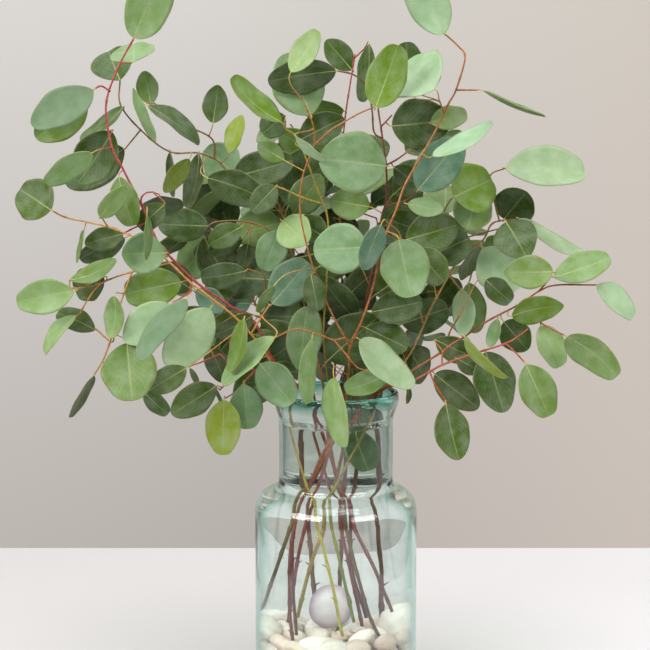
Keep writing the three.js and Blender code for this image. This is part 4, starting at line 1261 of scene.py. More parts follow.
# Blotches of wax, about 14 mm wide.
blotch = add_node(
    leaf_skin, "ShaderNodeTexNoise", Vector=spot.outputs["Object"], Scale=1 / (14 * MM),
    Detail=3.0, Roughness=0.55,
)
waxed = add_node(
    leaf_skin, "ShaderNodeMapRange", Value=blotch.outputs["Fac"], From_Min=0.35, From_Max=0.7,
    To_Min=0.0, To_Max=1.0,
)
rubbed = add_node(
    leaf_skin, "ShaderNodeHueSaturation", Saturation=1.22, Value=0.86, Color=tone.outputs["Color"],
)
powdered = add_node(
    leaf_skin, "ShaderNodeMix", {"data_type": "RGBA"}, i0=0.16, i6=tone.outputs["Color"],
    i7=linear("#C6D6C8"),
)
skin = add_node(
    leaf_skin, "ShaderNodeMix", {"data_type": "RGBA"}, i0=waxed.outputs["Result"],
    i6=rubbed.outputs["Color"], i7=powdered.outputs[2],
)

# Side veins leave the midrib at a slant, ten to the blade, and wander with the blotches.
aside = add_node(leaf_skin, "ShaderNodeMath", {"operation": "ABSOLUTE"}, i0=split.outputs["Y"])
slant = add_node(
    leaf_skin, "ShaderNodeMath", {"operation": "MULTIPLY_ADD"}, i0=aside.outputs[0], i1=-0.45,
    i2=split.outputs["X"],
)
wander = add_node(
    leaf_skin, "ShaderNodeMath", {"operation": "MULTIPLY_ADD"}, i0=blotch.outputs["Fac"], i1=0.22,
    i2=slant.outputs[0],
)
beat = add_node(
    leaf_skin, "ShaderNodeMath", {"operation": "MULTIPLY"}, i0=wander.outputs[0], i1=20 * math.pi,
)
veins = add_node(leaf_skin, "ShaderNodeMath", {"operation": "COSINE"}, i0=beat.outputs[0])
vein_line = add_node(
    leaf_skin, "ShaderNodeMapRange", Value=veins.outputs[0], From_Min=0.8, From_Max=1.0,
    To_Min=0.0, To_Max=0.1,
)
veined = add_node(
    leaf_skin, "ShaderNodeMix", {"data_type": "RGBA"}, i0=vein_line.outputs["Result"],
    i6=skin.outputs[2], i7=linear("#B9CB98"),
)

# The midrib is a band 4% of the width, and the margin the outer 4%.
midrib = add_node(
    leaf_skin, "ShaderNodeMapRange", Value=aside.outputs[0], From_Min=0.06, From_Max=0.015,
    To_Min=0.0, To_Max=0.28,
)
ribbed = add_node(
    leaf_skin, "ShaderNodeMix", {"data_type": "RGBA"}, i0=midrib.outputs["Result"],
    i6=veined.outputs[2], i7=linear("#C0CB8C"),
)
edge = add_node(
    leaf_skin, "ShaderNodeMapRange", Value=aside.outputs[0], From_Min=0.945, From_Max=0.985,
    To_Min=0.0, To_Max=0.45,
)
leaf_colour = add_node(
    leaf_skin, "ShaderNodeMix", {"data_type": "RGBA"}, i0=edge.outputs["Result"],
    i6=ribbed.outputs[2], i7=linear("#A99A62"),
)

# Cells of the skin, drawn 1.2 mm wide so that they show, and the veins as low ridges.
cells = add_node(
    leaf_skin, "ShaderNodeTexNoise", Vector=spot.outputs["Object"], Scale=1 / (1.2 * MM),
    Detail=2.0,
)
relief = add_node(
    leaf_skin, "ShaderNodeMath", {"operation": "MULTIPLY_ADD"}, i0=vein_line.outputs["Result"],
    i1=4.0, i2=cells.outputs["Fac"],
)
bump = add_node(
    leaf_skin, "ShaderNodeBump", Height=relief.outputs[0], Strength=0.25, Distance=0.0003,
)
roughness = add_node(
    leaf_skin, "ShaderNodeMapRange", Value=blotch.outputs["Fac"], From_Min=0.3, From_Max=0.7,
    To_Min=0.42, To_Max=0.6,
)
surface = add_node(
    leaf_skin, "ShaderNodeBsdfPrincipled", Base_Color=leaf_colour.outputs[2],
    Roughness=roughness.outputs["Result"], IOR=1.45, Normal=bump.outputs["Normal"],
    Sheen_Weight=0.12, Sheen_Roughness=0.4,
)
glow_colour = add_node(
    leaf_skin, "ShaderNodeHueSaturation", Hue=0.485, Saturation=1.3, Value=1.1,
    Color=leaf_colour.outputs[2],
)
glow = add_node(leaf_skin, "ShaderNodeBsdfTranslucent", Color=glow_colour.outputs["Color"])
thin = add_node(
    leaf_skin, "ShaderNodeMixShader", i0=0.24, i1=surface.outputs[0], i2=glow.outputs[0],
)
finish_material(leaf_skin, thin)

# %% [markdown]
# ## Bark
# The young bark is smooth, red-brown to yellow, with fine lengthwise streaks and small pale
# pores. Its colour comes from the tones that each limb carries.

# %% Young bark
bark_skin = new_material("young_bark")
tone = add_node(bark_skin, "ShaderNodeAttribute", {"attribute_name": "tone"})
spot = add_node(bark_skin, "ShaderNodeTexCoord")
streaks = add_node(
    bark_skin, "ShaderNodeTexNoise", Vector=spot.outputs["Object"], Scale=1 / (3 * MM), Detail=4.0,
    Roughness=0.65,
)
darker = add_node(
    bark_skin, "ShaderNodeHueSaturation", Saturation=1.1, Value=0.68, Color=tone.outputs["Color"],
)
paler = add_node(
    bark_skin, "ShaderNodeHueSaturation", Saturation=0.95, Value=1.22, Color=tone.outputs["Color"],
)
mottle = add_node(
    bark_skin, "ShaderNodeMapRange", Value=streaks.outputs["Fac"], From_Min=0.35, From_Max=0.68,
    To_Min=0.0, To_Max=1.0,
)
bark_colour = add_node(
    bark_skin, "ShaderNodeMix", {"data_type": "RGBA"}, i0=mottle.outputs["Result"],
    i6=darker.outputs["Color"], i7=paler.outputs["Color"],
)
bump = add_node(
    bark_skin, "ShaderNodeBump", Height=streaks.outputs["Fac"], Strength=0.5, Distance=0.0004,
)
surface = add_node(
    bark_skin, "ShaderNodeBsdfPrincipled", Base_Color=bark_colour.outputs[2], Roughness=0.48,
    IOR=1.45, Normal=bump.outputs["Normal"],
)
finish_material(bark_skin, surface)

# %% [markdown]
# ## Wood, petioles and midribs
# A stem is thickest at its cut end and swells a little at each node, where a leaf has been. Cut
# stumps of old petioles stand out there. A petiole leaves the wood, bends into the line of its
# leaf and runs on as the midrib, thinner and thinner, to near the tip.

# %% Stems and twigs
STEM_SIDES = 10
TWIG_SIDES = 7
STEM_SLIMNESS = 0.6
TWIG_SLIMNESS = 0.56
STEM_STEP = 2.5
NODE_SPACING = 27
NODE_SWELL = 0.3
NODE_LENGTH = 2.4
STUMP_LENGTH = 4.5
GREEN_LEVEL = 330


def swollen(path, radii, draw):
    travelled = np.concatenate([[0], np.cumsum(np.linalg.norm(np.diff(path, axis=0), axis=1))])
    nodes = []
    at = NODE_SPACING * (0.4 + 0.5 * draw())
    while at < travelled[-1] - 4:
        radii = radii * (1 + NODE_SWELL * np.exp(-((travelled - at) / NODE_LENGTH) ** 2))
        nodes.append(int(np.argmin(np.abs(travelled - at))))
        at += NODE_SPACING * (0.75 + 0.6 * draw())
    return radii, nodes


def stump_part(path, radii, tones, node, draw):
    way = unit(path[min(node + 1, len(path) - 1)] - path[node - 1])
    turn = 2 * math.pi * draw()
    side = unit(np.cross(way, (math.cos(turn), math.sin(turn), 0.3)))
    out = unit(side + way * 0.9)
    length = radii[node] + STUMP_LENGTH * (0.5 + 0.5 * draw())
    tip = path[node] + out * length
    stump = np.array([path[node], path[node] * 0.4 + tip * 0.6, tip])
    return limb_part(stump, [0.8, 0.65, 0.5], [tones[node]] * 3, 6)


def wood_parts(plant, draw):
    parts = []
    foot, head, _ = (np.array(linear(colour)) for colour in plant["bark"])
    for number, limb in enumerate(plant["limbs"]):
        path = smooth_path(limb["points"], STEM_STEP)
        part = np.linspace(0, 1, len(path))
        slimness = TWIG_SLIMNESS if number else STEM_SLIMNESS
        radii = slimness * (limb["radius"][0] + (limb["radius"][1] - limb["radius"][0]) * part)
        rise = (path[:, 2] - 120) / (GREEN_LEVEL - 120)
        tones = blend(foot, head, rise)
        radii, nodes = swollen(path, radii, draw)
        parts.append(limb_part(path, radii, tones, TWIG_SIDES if number else STEM_SIDES))
        for node in nodes:
            if number == 0 and path[node, 2] < JAR_HEIGHT and draw() < 0.55:
                parts.append(stump_part(path, radii, tones, node, draw))
    return parts


print("stems swell by", NODE_SWELL, "at each node")


# %% Petioles that run on as midribs
PETIOLE_SIDES = 6
PETIOLE_STEP = 2.5
MIDRIB_END = 0.88
MIDRIB_STEPS = 9
PETIOLE_TIP = np.array(linear("#B7B45C"))
MIDRIB_TONE = np.array(linear("#BCC98E"))


def petiole_part(leaf, colour):
    root, base = leaf["root"], leaf["base"]
    run = base - root
    reach = math.sqrt(run @ run)
    leave = unit(run / reach + leaf["axis"] * 0.15) * reach
    arrive = leaf["axis"] * reach
    steps = max(5, round(reach / PETIOLE_STEP))
    t = np.linspace(0, 1, steps)[:, None]
    stalk = (2 * t ** 3 - 3 * t ** 2 + 1) * root + (t ** 3 - 2 * t ** 2 + t) * leave
    stalk = stalk + (3 * t ** 2 - 2 * t ** 3) * base + (t ** 3 - t ** 2) * arrive
    part = np.linspace(0, MIDRIB_END, MIDRIB_STEPS + 1)[1:]
    rib = fine_blade(leaf, leaf["traits"], part, np.zeros_like(part))
    path = np.vstack([stalk, rib])
    stalk_radii = 0.55 + 0.35 * np.exp(-t[:, 0] * reach / 2.5)
    radii = np.concatenate([stalk_radii, 0.42 * (1 - part / MIDRIB_END) + 0.12])
    stalk_tones = blend(colour, PETIOLE_TIP, (t[:, 0] - 0.55) / 0.45)
    own = np.array(leaf_tone(leaf)) * 0.5 + MIDRIB_TONE * 0.5
    rib_tones = blend(PETIOLE_TIP * 0.4 + MIDRIB_TONE * 0.6, own, part * 2)
    return limb_part(path, radii, np.vstack([stalk_tones, rib_tones]), PETIOLE_SIDES)


print("the midrib ends at", MIDRIB_END, "of the blade")

# %% [markdown]
# Each branch becomes two pieces: its wood with petioles and midribs, and its blades. Both stand
# for the branch's one CAD node.

# %% Grow the branches
draw = seeded(23)
for plant in grown:
    node = plant["name"]
    petiole_colour = np.array(linear(plant["bark"][2]))
    parts = wood_parts(plant, draw) + [petiole_part(leaf, petiole_colour) for leaf in plant["leaves"]]
    make_piece(node + "_wood", parts, bark_skin, "eucalyptus_bark", node)

    parts = [blade_part(leaf) for leaf in plant["leaves"]]
    piece = make_piece(node + "_leaves", parts, leaf_skin, "eucalyptus_leaf", node)
    thickness = piece.modifiers.new("thickness", "SOLIDIFY")
    thickness.thickness = BLADE_THICKNESS * MM
    thickness.offset = 0

# %% [markdown]
# ## The jar
# The real jar is blown from recycled glass: a wide body, a rounded shoulder, a straight neck and a
# flared rim, with a pale green tint, soft waves and small trapped bubbles, which glassmakers call
# seeds. It is a turned shape, so one outline is spun about the axis.

# %% The jar's outline
FOOT_RADIUS = 74
SHOULDER_FOOT = 190
RIM_BAND = 20
FLOOR_THICKNESS = 6
OUTER_OUTLINE = [
    (0, 0), (FOOT_RADIUS - 8, 0), (FOOT_RADIUS, 0), (BODY_RADIUS - 3.5, 2.5),
    (BODY_RADIUS - 1.5, 8), (BODY_RADIUS, 24), (BODY_RADIUS, 100), (BODY_RADIUS, 178),
    (BODY_RADIUS, SHOULDER_FOOT + 2), (BODY_RADIUS - 1.5, 200), (BODY_RADIUS - 6.5, 207.5),
    (BODY_RADIUS - 15, 212.5), (NECK_RADIUS + 2.5, 215.5), (NECK_RADIUS, 221), (NECK_RADIUS, 230),
    (NECK_RADIUS, 270), (NECK_RADIUS, JAR_HEIGHT - RIM_BAND - 6),
    (NECK_RADIUS + 2, JAR_HEIGHT - RIM_BAND), (RIM_RADIUS - 0.5, JAR_HEIGHT - 12),
    (RIM_RADIUS + 0.6, JAR_HEIGHT - 6), (RIM_RADIUS - 0.6, JAR_HEIGHT),
]
INNER_OUTLINE = [
    (0, FLOOR_THICKNESS), (FOOT_RADIUS - 12, FLOOR_THICKNESS), (FOOT_RADIUS - 5, FLOOR_THICKNESS),
    (BODY_RADIUS - 6.5, FLOOR_THICKNESS + 5), (BODY_RADIUS - WALL, 24), (BODY_RADIUS - WALL, 100),
    (BODY_RADIUS - WALL, 178), (BODY_RADIUS - WALL, SHOULDER_FOOT),
    (BODY_RADIUS - WALL - 1.5, 197.5), (BODY_RADIUS - WALL - 6, 203.5),
    (BODY_RADIUS - WALL - 14, 208.3), (NECK_RADIUS - WALL + 3, 211.5), (NECK_RADIUS - WALL, 217),
    (NECK_RADIUS - WALL, 228), (NECK_RADIUS - WALL, 270),
    (NECK_RADIUS - WALL, JAR_HEIGHT - RIM_BAND), (RIM_RADIUS - 7, JAR_HEIGHT - 4),
    (RIM_RADIUS - 5, JAR_HEIGHT),
]


def cut_corners(outline, times):
    for _ in range(times):
        cut = [outline[0]]
        for (r0, z0), (r1, z1) in zip(outline, outline[1:]):
            cut.append((r0 * 0.75 + r1 * 0.25, z0 * 0.75 + z1 * 0.25))
            cut.append((r0 * 0.25 + r1 * 0.75, z0 * 0.25 + z1 * 0.75))
        cut.append(outline[-1])
        outline = cut
    return outline


def turned_part(outline, steps):
    bm = bmesh.new()
    verts = [bm.verts.new((radius * MM, 0, height * MM)) for radius, height in outline]
    edges = [bm.edges.new(pair) for pair in zip(verts, verts[1:])]
    bmesh.ops.spin(
        bm, geom=verts + edges, axis=(0, 0, 1), cent=(0, 0, 0), angle=2 * math.pi, steps=steps,
        use_merge=True,
    )
    bmesh.ops.remove_doubles(bm, verts=bm.verts, dist=1e-6)
    bmesh.ops.recalc_face_normals(bm, faces=bm.faces)
    return bm


low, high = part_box("jar")
print("the CAD jar's height and width in mm:", round(high.z / MM), round((high.x - low.x) / MM))

# %% [markdown]
# The waves are pushed into the glass itself, a quarter of a millimetre deep and differently inside
# and outside, because the light bends by both faces. Seeds are small spheres turned inside out,
# since a bubble is a hole in the glass.

# %% Blow the jar
JAR_STEPS = 144
WAVE_DEPTH = 0.24
WAVE_LENGTH = 30
SEED_COUNT = 80


def push_waves(bm):
    for vert in bm.verts:
        radius = math.hypot(vert.co.x, vert.co.y)
        if radius < 20 * MM or vert.co.z < 2.6 * MM:
            continue
        inside = radius < (BODY_RADIUS - WALL / 2) * MM and vert.co.z < SHOULDER_FOOT * MM
        layer = Vector((0, 0, 5)) if inside else Vector((0, 0, 0))
        push = noise.noise(vert.co / (WAVE_LENGTH * MM) + layer) * WAVE_DEPTH * MM / radius
        vert.co.x += vert.co.x * push
        vert.co.y += vert.co.y * push


def seed_part(draw):
    bm = bmesh.new()
    low_down = draw() < 0.7
    height = 12 + 170 * draw() if low_down else 236 + 50 * draw()
    around = 2 * math.pi * draw()
    if draw() < 0.3:
        height, around, low_down = 150 + 36 * draw(), math.radians(205 + 30 * draw()), True
    out = (BODY_RADIUS if low_down else NECK_RADIUS) - WALL * (0.4 + 0.2 * draw())
    size = (0.25 + 0.45 * draw() ** 2) * MM
    place = Vector((out * math.cos(around), out * math.sin(around), height)) * MM
    turn = Matrix.Rotation(around, 4, "Z") @ Matrix.Diagonal((0.8, 1.0 + draw(), 1.0, 1.0))
    bmesh.ops.create_icosphere(
        bm, subdivisions=2, radius=size, matrix=Matrix.Translation(place) @ turn,
    )
    bmesh.ops.reverse_faces(bm, faces=bm.faces)
    return bm


blown = turned_part(cut_corners([*OUTER_OUTLINE, *reversed(INNER_OUTLINE)], 3), JAR_STEPS)
push_waves(blown)
draw = seeded(5)
jar_parts = [blown] + [seed_part(draw) for _ in range(SEED_COUNT)]
print("seeds in the glass:", SEED_COUNT)

# %% [markdown]
# Clear glass takes its look from what it bends and mirrors, so the recipe is short: full
# transmission, an index of 1.5 and almost no roughness. The green sits inside the glass, as an
# absorption that takes half of the red light in about 75 mm. The eye looks through 8 mm of wall
# in the middle but 50 mm at the sides, so the sides are the greenest. The skin is tinted too,
# where it turns away from the eye, and most in the neck and rim. Lamps shine through by a plain
# see-through shader, as glass hardly shades.

# %% Recycled glass
LIGHT_KEPT = (0.1, 0.74, 0.62, 1)
GLASS_DENSITY = 10.0

glass = new_material("blown_recycled_glass")
spot = add_node(glass, "ShaderNodeTexCoord")
streak_space = add_node(
    glass, "ShaderNodeMapping", Vector=spot.outputs["Object"], Scale=(1.0, 1.0, 3.0),
)
streaks = add_node(
    glass, "ShaderNodeTexNoise", Vector=streak_space.outputs["Vector"], Scale=1 / (45 * MM),
    Detail=3.0, Distortion=0.8,
)
split = add_node(glass, "ShaderNodeSeparateXYZ", Vector=spot.outputs["Object"])
height = add_node(
    glass, "ShaderNodeMapRange", Value=split.outputs["Z"], From_Min=SHOULDER_FOOT * MM,
    From_Max=JAR_HEIGHT * MM, To_Min=0.0, To_Max=1.0,
)
upper = add_node(glass, "ShaderNodeValToRGB", Fac=height.outputs["Result"])
set_ramp(
    upper, (0.0, linear("#000000")), (0.3, linear("#5C5C5C")), (0.86, linear("#6C6C6C")),
    (0.97, linear("#FFFFFF")),
)
cloud = add_node(
    glass, "ShaderNodeMapRange", Value=streaks.outputs["Fac"], From_Min=0.5, From_Max=0.8,
    To_Min=0.0, To_Max=0.16,
)
facing = add_node(glass, "ShaderNodeLayerWeight", Blend=0.5)
edgewise = add_node(
    glass, "ShaderNodeMapRange", Value=facing.outputs["Facing"], From_Min=0.45, From_Max=0.85,
    To_Min=0.0, To_Max=1.0,
)
mixed = add_node(
    glass, "ShaderNodeMath", {"operation": "MAXIMUM"}, i0=upper.outputs["Color"],
    i1=cloud.outputs["Result"],
)
tint = add_node(
    glass, "ShaderNodeMath", {"operation": "MAXIMUM"}, i0=mixed.outputs[0],
    i1=edgewise.outputs["Result"],
)
glass_colour = add_node(
    glass, "ShaderNodeMix", {"data_type": "RGBA"}, i0=tint.outputs[0], i6=linear("#FAFCFB"),
    i7=linear("#62B5A2"),
)
clear = add_node(
    glass, "ShaderNodeBsdfPrincipled", Base_Color=glass_colour.outputs[2], Roughness=0.015,
    IOR=1.5, Transmission_Weight=1.0,
)
lamps = add_node(glass, "ShaderNodeBsdfTransparent", Color=linear("#F6FAF8"))
path = add_node(glass, "ShaderNodeLightPath")
shone = add_node(
    glass, "ShaderNodeMixShader", i0=path.outputs["Is Shadow Ray"], i1=clear.outputs[0],
    i2=lamps.outputs[0],
)
green = add_node(
    glass, "ShaderNodeVolumeAbsorption", Color=LIGHT_KEPT, Density=GLASS_DENSITY,
)
finish_material(glass, shone, green)
make_piece("glass_jar", jar_parts, glass, "jar_glass", "jar")

# %% [markdown]
# ## The water
# The water fills the jar from its floor, between the shells and round the stems, to a level in
# the neck, two fingers under the rim. A film of air a fifth of a millimetre thick is left
# between it and the glass: touching faces would make the light flicker. At the glass its surface
# creeps up a little, as real water does.

# %% Still water
WATER_LEVEL = 280
WATER_FILM = 0.2
CREEP = 1.6

fill = [(radius - WATER_FILM, height) for radius, height in INNER_OUTLINE if height < WATER_LEVEL]
fill = [(max(radius, 0), height + WATER_FILM) for radius, height in fill]
edge_radius = NECK_RADIUS - WALL - WATER_FILM
fill += [
    (edge_radius, WATER_LEVEL + CREEP), (edge_radius - 2, WATER_LEVEL + 0.4),
    (edge_radius - 6, WATER_LEVEL), (edge_radius - 20, WATER_LEVEL), (0, WATER_LEVEL),
]
water_part = turned_part(cut_corners(fill, 2), JAR_STEPS)

water = new_material("still_water")
spot = add_node(water, "ShaderNodeTexCoord")
drift = add_node(
    water, "ShaderNodeTexNoise", Vector=spot.outputs["Object"], Scale=1 / (60 * MM), Detail=1.0,
)
water_colour = add_node(
    water, "ShaderNodeMix", {"data_type": "RGBA"}, i0=drift.outputs["Fac"], i6=linear("#FCFEFD"),
    i7=linear("#F6FBF9"),
)
clear = add_node(
    water, "ShaderNodeBsdfPrincipled", Base_Color=water_colour.outputs[2], Roughness=0.0,
    IOR=1.333, Transmission_Weight=1.0,
)
lamps = add_node(water, "ShaderNodeBsdfTransparent", Color=linear("#FAFCFB"))
path = add_node(water, "ShaderNodeLightPath")
shone = add_node(
    water, "ShaderNodeMixShader", i0=path.outputs["Is Shadow Ray"], i1=clear.outputs[0],
    i2=lamps.outputs[0],
)
finish_material(water, shone)
make_piece("water_in_jar", [water_part], water, "water", "water")

# %% [markdown]
# ## Shells
# Sea shells are chalky and bleached, with a satin skin: growth lines run round them, and ribs run
# from the hinge to the edge. The large ones are bivalves. Each starts as a ball of rings about its
# width, which is pulled out at the hinge, pinched along the seam between its halves, and ribbed.
# Its tone darkens towards the edge, most on the round shell, which is purple there.


# %% A bivalve shell
def bivalve_part(place, half, turn, ribs, tone, edge=0.0, segments=40, rings=26):
    bm, tone_layer = new_part("tone")
    verts = bmesh.ops.create_uvsphere(
        bm, u_segments=segments, v_segments=rings, radius=1,
    )["verts"]
    for vert in verts:
        x, y, z = vert.co.x, vert.co.y, vert.co.z
        reach = math.hypot(x, z)
        around = math.atan2(x, z + 0.75)
        hinge = 1 + 0.16 * max(-z, 0)
        rib = 1 + 0.03 * math.cos(ribs * around) * reach
        growth = 1 + 0.012 * math.sin(34 * math.hypot(x, z + 0.8))
        seam = 1 - 0.05 * math.exp(-(y / 0.07) ** 2)
        thick = (1 - reach ** 2 * 0.25) * (1.18 - 0.3 * z)
        vert.co = Vector((
            half[0] * x * hinge * rib * seam, half[1] * y * thick * growth * rib,
            half[2] * z * seam * rib,
        )) * MM
        ring = 0.93 + 0.05 * math.sin(11 * math.hypot(x, z + 0.8))
        ring -= edge * max(0, reach - 0.7)
        vert[tone_layer] = (tone[0] * ring, tone[1] * (ring - 0.2 * edge * max(0, reach - 0.6)),
                            tone[2] * ring, 1)
    spot_matrix = Matrix.Translation(Vector(place) * MM) @ turn
    bmesh.ops.transform(bm, matrix=spot_matrix, verts=verts)
    bmesh.ops.recalc_face_normals(bm, faces=bm.faces)
    return bm


LARGE_SHELLS = {
    "round_shell": {"place": (-4, -16, 99), "turn": 0.1, "ribs": 0, "tone": "#CABFC4", "edge": 1.2},
    "white_shell_right": {"place": (53, -4, 76), "turn": -0.35, "ribs": 18, "tone": "#EADFDA", "edge": 0.1},
    "white_shell_left": {"place": (-58, -14, 72), "turn": 0.4, "ribs": 20, "tone": "#E8DCD4", "edge": 0.1},
    "white_shell_front": {"place": (-14, -52, 66), "turn": 0.05, "ribs": 0, "tone": "#EAE0DB", "edge": 0.1},
}
HALF_SIZES = {
    "round_shell": (16.5, 9, 22), "white_shell_right": (20, 11, 21),
    "white_shell_left": (15, 10, 13), "white_shell_front": (21, 8, 10),
}
print("large shells:", ", ".join(LARGE_SHELLS))

# %% [markdown]
# The material reads each shell's tone, stains it faintly with a broad noise, and adds a fine
# chalky grain. Shell is aragonite, so its index is a little above that of glass.

# %% Bleached shell
shell_skin = new_material("bleached_shell")
tone = add_node(shell_skin, "ShaderNodeAttribute", {"attribute_name": "tone"})
spot = add_node(shell_skin, "ShaderNodeTexCoord")
stain = add_node(
    shell_skin, "ShaderNodeTexNoise", Vector=spot.outputs["Object"], Scale=1 / (11 * MM),
    Detail=4.0, Roughness=0.6,
)
stained = add_node(
    shell_skin, "ShaderNodeHueSaturation", Saturation=1.9, Value=0.84, Color=tone.outputs["Color"],
)
patch = add_node(
    shell_skin, "ShaderNodeMapRange", Value=stain.outputs["Fac"], From_Min=0.48, From_Max=0.75,
    To_Min=0.0, To_Max=0.8,
)
shell_colour = add_node(
    shell_skin, "ShaderNodeMix", {"data_type": "RGBA"}, i0=patch.outputs["Result"],
    i6=tone.outputs["Color"], i7=stained.outputs["Color"],
)
grain = add_node(
    shell_skin, "ShaderNodeTexNoise", Vector=spot.outputs["Object"], Scale=1 / (0.9 * MM),
    Detail=3.0,
)
bump = add_node(
    shell_skin, "ShaderNodeBump", Height=grain.outputs["Fac"], Strength=0.3, Distance=0.0003,
)
surface = add_node(
    shell_skin, "ShaderNodeBsdfPrincipled", Base_Color=shell_colour.outputs[2], Roughness=0.42,
    IOR=1.53, Normal=bump.outputs["Normal"],
)
finish_material(shell_skin, surface)

for name, shell in LARGE_SHELLS.items():
    turn = Matrix.Rotation(shell["turn"], 4, "Y")
    part = bivalve_part(
        shell["place"], HALF_SIZES[name], turn, shell["ribs"], linear(shell["tone"]),
        shell["edge"],
    )
    make_piece(name + "_fine", [part], shell_skin, "shells", name)

# %% [markdown]
# The bed is a heap of small things: worn pebbles, small bivalves and pointed turret shells, in
# white, cream and a few warm greys. They are laid in rings from the floor up, the outer ones
# against the glass, where they show.


# %% Pebbles and turrets
def pebble_part(place, half, turn, tone, shift):
    bm, tone_layer = new_part("tone")
    verts = bmesh.ops.create_icosphere(bm, subdivisions=3, radius=1)["verts"]
    for vert in verts:
        dent = 1 + 0.22 * noise.noise(vert.co * 1.3 + Vector((shift, 0, 0)))
        vert.co = Vector((vert.co.x * half[0], vert.co.y * half[1], vert.co.z * half[2])) * dent * MM
        vert[tone_layer] = tone
    bmesh.ops.transform(bm, matrix=Matrix.Translation(Vector(place) * MM) @ turn, verts=verts)
    return bm


def turret_part(place, length, turn, tone):
    coils = 5
    steps = coils * 12
    part = np.linspace(0, 1, steps)
    angle = part * coils * 2 * math.pi
    out = length * 0.17 * (1 - part) ** 1.2
    helix = np.stack([out * np.cos(angle), out * np.sin(angle), length * (part - 0.4)], axis=1)
    turned = [Vector(turn @ Vector(point)) + Vector(place) for point in helix]
    path = np.array([list(point) for point in turned])
    radii = length * 0.16 * (1 - part) ** 1.05 + 0.25
    return limb_part(path, radii, [tone] * steps, 8)


BED_TONES = ("#E4D6D0", "#DCCCC2", "#EADFDA", "#D8C4B8", "#C8B6AE", "#E2D4CE", "#D8BEB4")
print("bed tones:", len(BED_TONES))


# %% Heap the bed
BED_RINGS = (
    {"count": 14, "out": 62, "height": 17}, {"count": 8, "out": 40, "height": 17},
    {"count": 14, "out": 63, "height": 33}, {"count": 8, "out": 42, "height": 34},
    {"count": 14, "out": 62, "height": 49}, {"count": 9, "out": 42, "height": 50},
    {"count": 5, "out": 18, "height": 54}, {"count": 14, "out": 61, "height": 64},
    {"count": 9, "out": 38, "height": 66}, {"count": 4, "out": 15, "height": 68},
)


def bed_part(ring, number, draw):
    around = 2 * math.pi * (number + 0.7 * draw()) / ring["count"]
    height = ring["height"] + 5 * (draw() - 0.5)
    place = (ring["out"] * math.cos(around), ring["out"] * math.sin(around), height)
    turn = Matrix.Rotation(around + 1.57 + draw() - 0.5, 4, "Z")
    turn = turn @ Matrix.Rotation(1.6 * (draw() - 0.5), 4, "X")
    turn = turn @ Matrix.Rotation(1.2 * (draw() - 0.5), 4, "Y")
    tone = linear(BED_TONES[int(draw() * len(BED_TONES))])
    kind, size = draw(), 0.8 + 0.4 * draw()
    if kind < 0.5:
        return pebble_part(place, (16 * size, 9 * size, 8 * size), turn, tone, 9 * draw())
    if kind < 0.85:
        half = (14 * size, 7 * size, 11 * size)
        return bivalve_part(place, half, turn, 16, tone, 0.1, 24, 14)
    return turret_part(place, 28 * size, turn @ Matrix.Rotation(1.5, 4, "Y"), tone)


draw = seeded(19)
parts = [bed_part(ring, number, draw) for ring in BED_RINGS for number in range(ring["count"])]
make_piece("shell_bed_fine", parts, shell_skin, "shells", "shell_bed")

# %% [markdown]
# ## The room
# A white table, a plain wall far behind it, and soft window light from the left. None of it belongs to the
# part.

# %% Table and wall
TABLE_EDGE = 0.564
TABLE_SIDE = 0.52
WALL_PLACE = 3.4


def add_stage(name, low, high, material):
    bm = bmesh.new()
    size = [b - a for a, b in zip(low, high)]
    middle = [(a + b) / 2 for a, b in zip(low, high)]
    bmesh.ops.create_cube(bm, size=1, matrix=Matrix.Translation(middle) @ Matrix.Diagonal((*size, 1)))
    mesh = bpy.data.meshes.new(name)
    bm.to_mesh(mesh)
    bm.free()
    mesh.materials.append(material)
    thing = bpy.data.objects.new(name, mesh)
    bpy.context.scene.collection.objects.link(thing)
    return thing


paint = new_material("white_table_top")
spot = add_node(paint, "ShaderNodeTexCoord")
split = add_node(paint, "ShaderNodeSeparateXYZ", Vector=spot.outputs["Object"])
# Painted light and shade: the white top is darker towards the left and lighter to the right.
across = add_node(
    paint, "ShaderNodeMapRange", Value=split.outputs["X"], From_Min=-0.1, From_Max=0.4,
    To_Min=0.0, To_Max=1.0,
)
table_paint_light_and_shade = add_node(
    paint, "ShaderNodeMix", {"data_type": "RGBA"}, i0=across.outputs["Result"],
    i6=linear("#C4C2C3"), i7=linear("#DCDADD"),
)
finish_material(paint, add_node(
    paint, "ShaderNodeBsdfPrincipled", Base_Color=table_paint_light_and_shade.outputs[2], Roughness=0.5,
))
plaster = new_material("warm_plaster_wall")
spot = add_node(plaster, "ShaderNodeTexCoord")
split = add_node(plaster, "ShaderNodeSeparateXYZ", Vector=spot.outputs["Object"])
across = add_node(
    plaster, "ShaderNodeMapRange", Value=split.outputs["X"], From_Min=-1.0, From_Max=1.0,
    To_Min=0.0, To_Max=1.0,
)
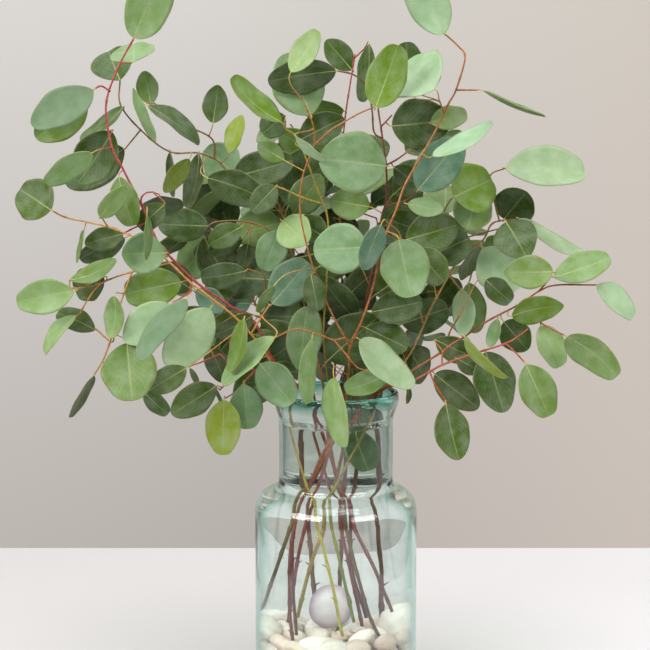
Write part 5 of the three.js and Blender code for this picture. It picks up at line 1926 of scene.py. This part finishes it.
# The warm plaster tone carries painted light and shade: it changes across the wall and from the foot up,
# darker low on the left and brighter low on the right.
up = add_node(
    plaster, "ShaderNodeMapRange", Value=split.outputs["Z"], From_Min=-0.85, From_Max=0.9,
    To_Min=0.0, To_Max=1.0,
)
top_paint_and_light = add_node(plaster, "ShaderNodeValToRGB", Fac=across.outputs["Result"])
set_ramp(top_paint_and_light, (0.0, linear("#EBE9E8")), (0.55, linear("#E0DDD9")), (1.0, linear("#E9E2DA")))
foot_paint_and_shade = add_node(plaster, "ShaderNodeValToRGB", Fac=across.outputs["Result"])
set_ramp(foot_paint_and_shade, (0.0, linear("#E6E0DB")), (0.4, linear("#DCD5D1")), (1.0, linear("#FBF0E8")))
wall_paint_and_shade = add_node(
    plaster, "ShaderNodeMix", {"data_type": "RGBA"}, i0=up.outputs["Result"],
    i6=foot_paint_and_shade.outputs["Color"], i7=top_paint_and_light.outputs["Color"],
)
finish_material(plaster, add_node(
    plaster, "ShaderNodeBsdfPrincipled", Base_Color=wall_paint_and_shade.outputs[2], Roughness=0.9,
))
add_stage("table_top", (-TABLE_SIDE, -1.5, -0.03), (TABLE_SIDE, TABLE_EDGE, 0.0), paint)
add_stage("wall_behind", (-5.0, WALL_PLACE, -2.5), (5.0, WALL_PLACE + 0.05, 4.5), plaster)

# %% [markdown]
# ## Light and camera
# The light is a bright overcast day: an even sky that is dimmer towards the room in front, a wide
# window at the left in front, and a weaker one at the right that lifts the shadows. The glass
# mirrors both as the long highlights on the jar's shoulder.

# %% Light
world = bpy.data.worlds.new("overcast")
bpy.context.scene.world = world
world.use_nodes = True
sky = world.node_tree.nodes["Background"]
spot = add_node(world, "ShaderNodeTexCoord")
lean = add_node(
    world, "ShaderNodeVectorMath", {"operation": "DOT_PRODUCT"}, i0=spot.outputs["Generated"],
    i1=(0.0, 0.3, 0.4),
)
lift = add_node(world, "ShaderNodeMath", {"operation": "ADD"}, i0=lean.outputs["Value"], i1=0.5)
ramp = add_node(world, "ShaderNodeValToRGB", Fac=lift.outputs[0])
set_ramp(ramp, (0.2, linear("#7E7C7A")), (0.5, linear("#C9CACC")), (0.8, linear("#FFFFFF")))
world.node_tree.links.new(ramp.outputs["Color"], sky.inputs["Color"])
sky.inputs["Strength"].default_value = 0.74


def add_window(name, place, size, power, colour, aim=(0, 0, 0.4)):
    light = bpy.data.lights.new(name, "AREA")
    light.shape = "RECTANGLE"
    light.size, light.size_y = size
    light.energy = power
    light.color = linear(colour)[:3]
    lamp = bpy.data.objects.new(name, light)
    lamp.location = place
    lamp.rotation_euler = (Vector(aim) - Vector(place)).to_track_quat("-Z", "Y").to_euler()
    bpy.context.scene.collection.objects.link(lamp)
    return lamp


add_window("window_left", (-1.9, -1.7, 1.85), (2.4, 0.9), 76, "#FFFDF8")
add_window("window_right", (1.8, -1.9, 1.6), (2.0, 0.8), 34, "#FFF8F2")
add_window("window_top", (0.1, -0.3, 2.6), (1.6, 1.2), 25, "#FFFFFF")
add_window("wall_wash", (-0.4, 1.9, 3.1), (3.0, 0.6), 36, "#FFFDF8", (0, WALL_PLACE, 0.1))

# %% Camera
SENSOR = 36
PHOTO_WIDTH = 650
camera = bpy.data.objects.new("camera", bpy.data.cameras.new("camera"))
bpy.context.scene.collection.objects.link(camera)
camera.location = Vector(EYE) * MM
camera.rotation_euler = (math.pi / 2 - EYE_PITCH, 0, 0)
camera.data.sensor_width = SENSOR
camera.data.lens = SENSOR * EYE_DISTANCE / PHOTO_WIDTH
bpy.context.scene.camera = camera
bpy.context.scene.view_settings.view_transform = "Standard"
print("lens:", round(camera.data.lens, 2), "mm")
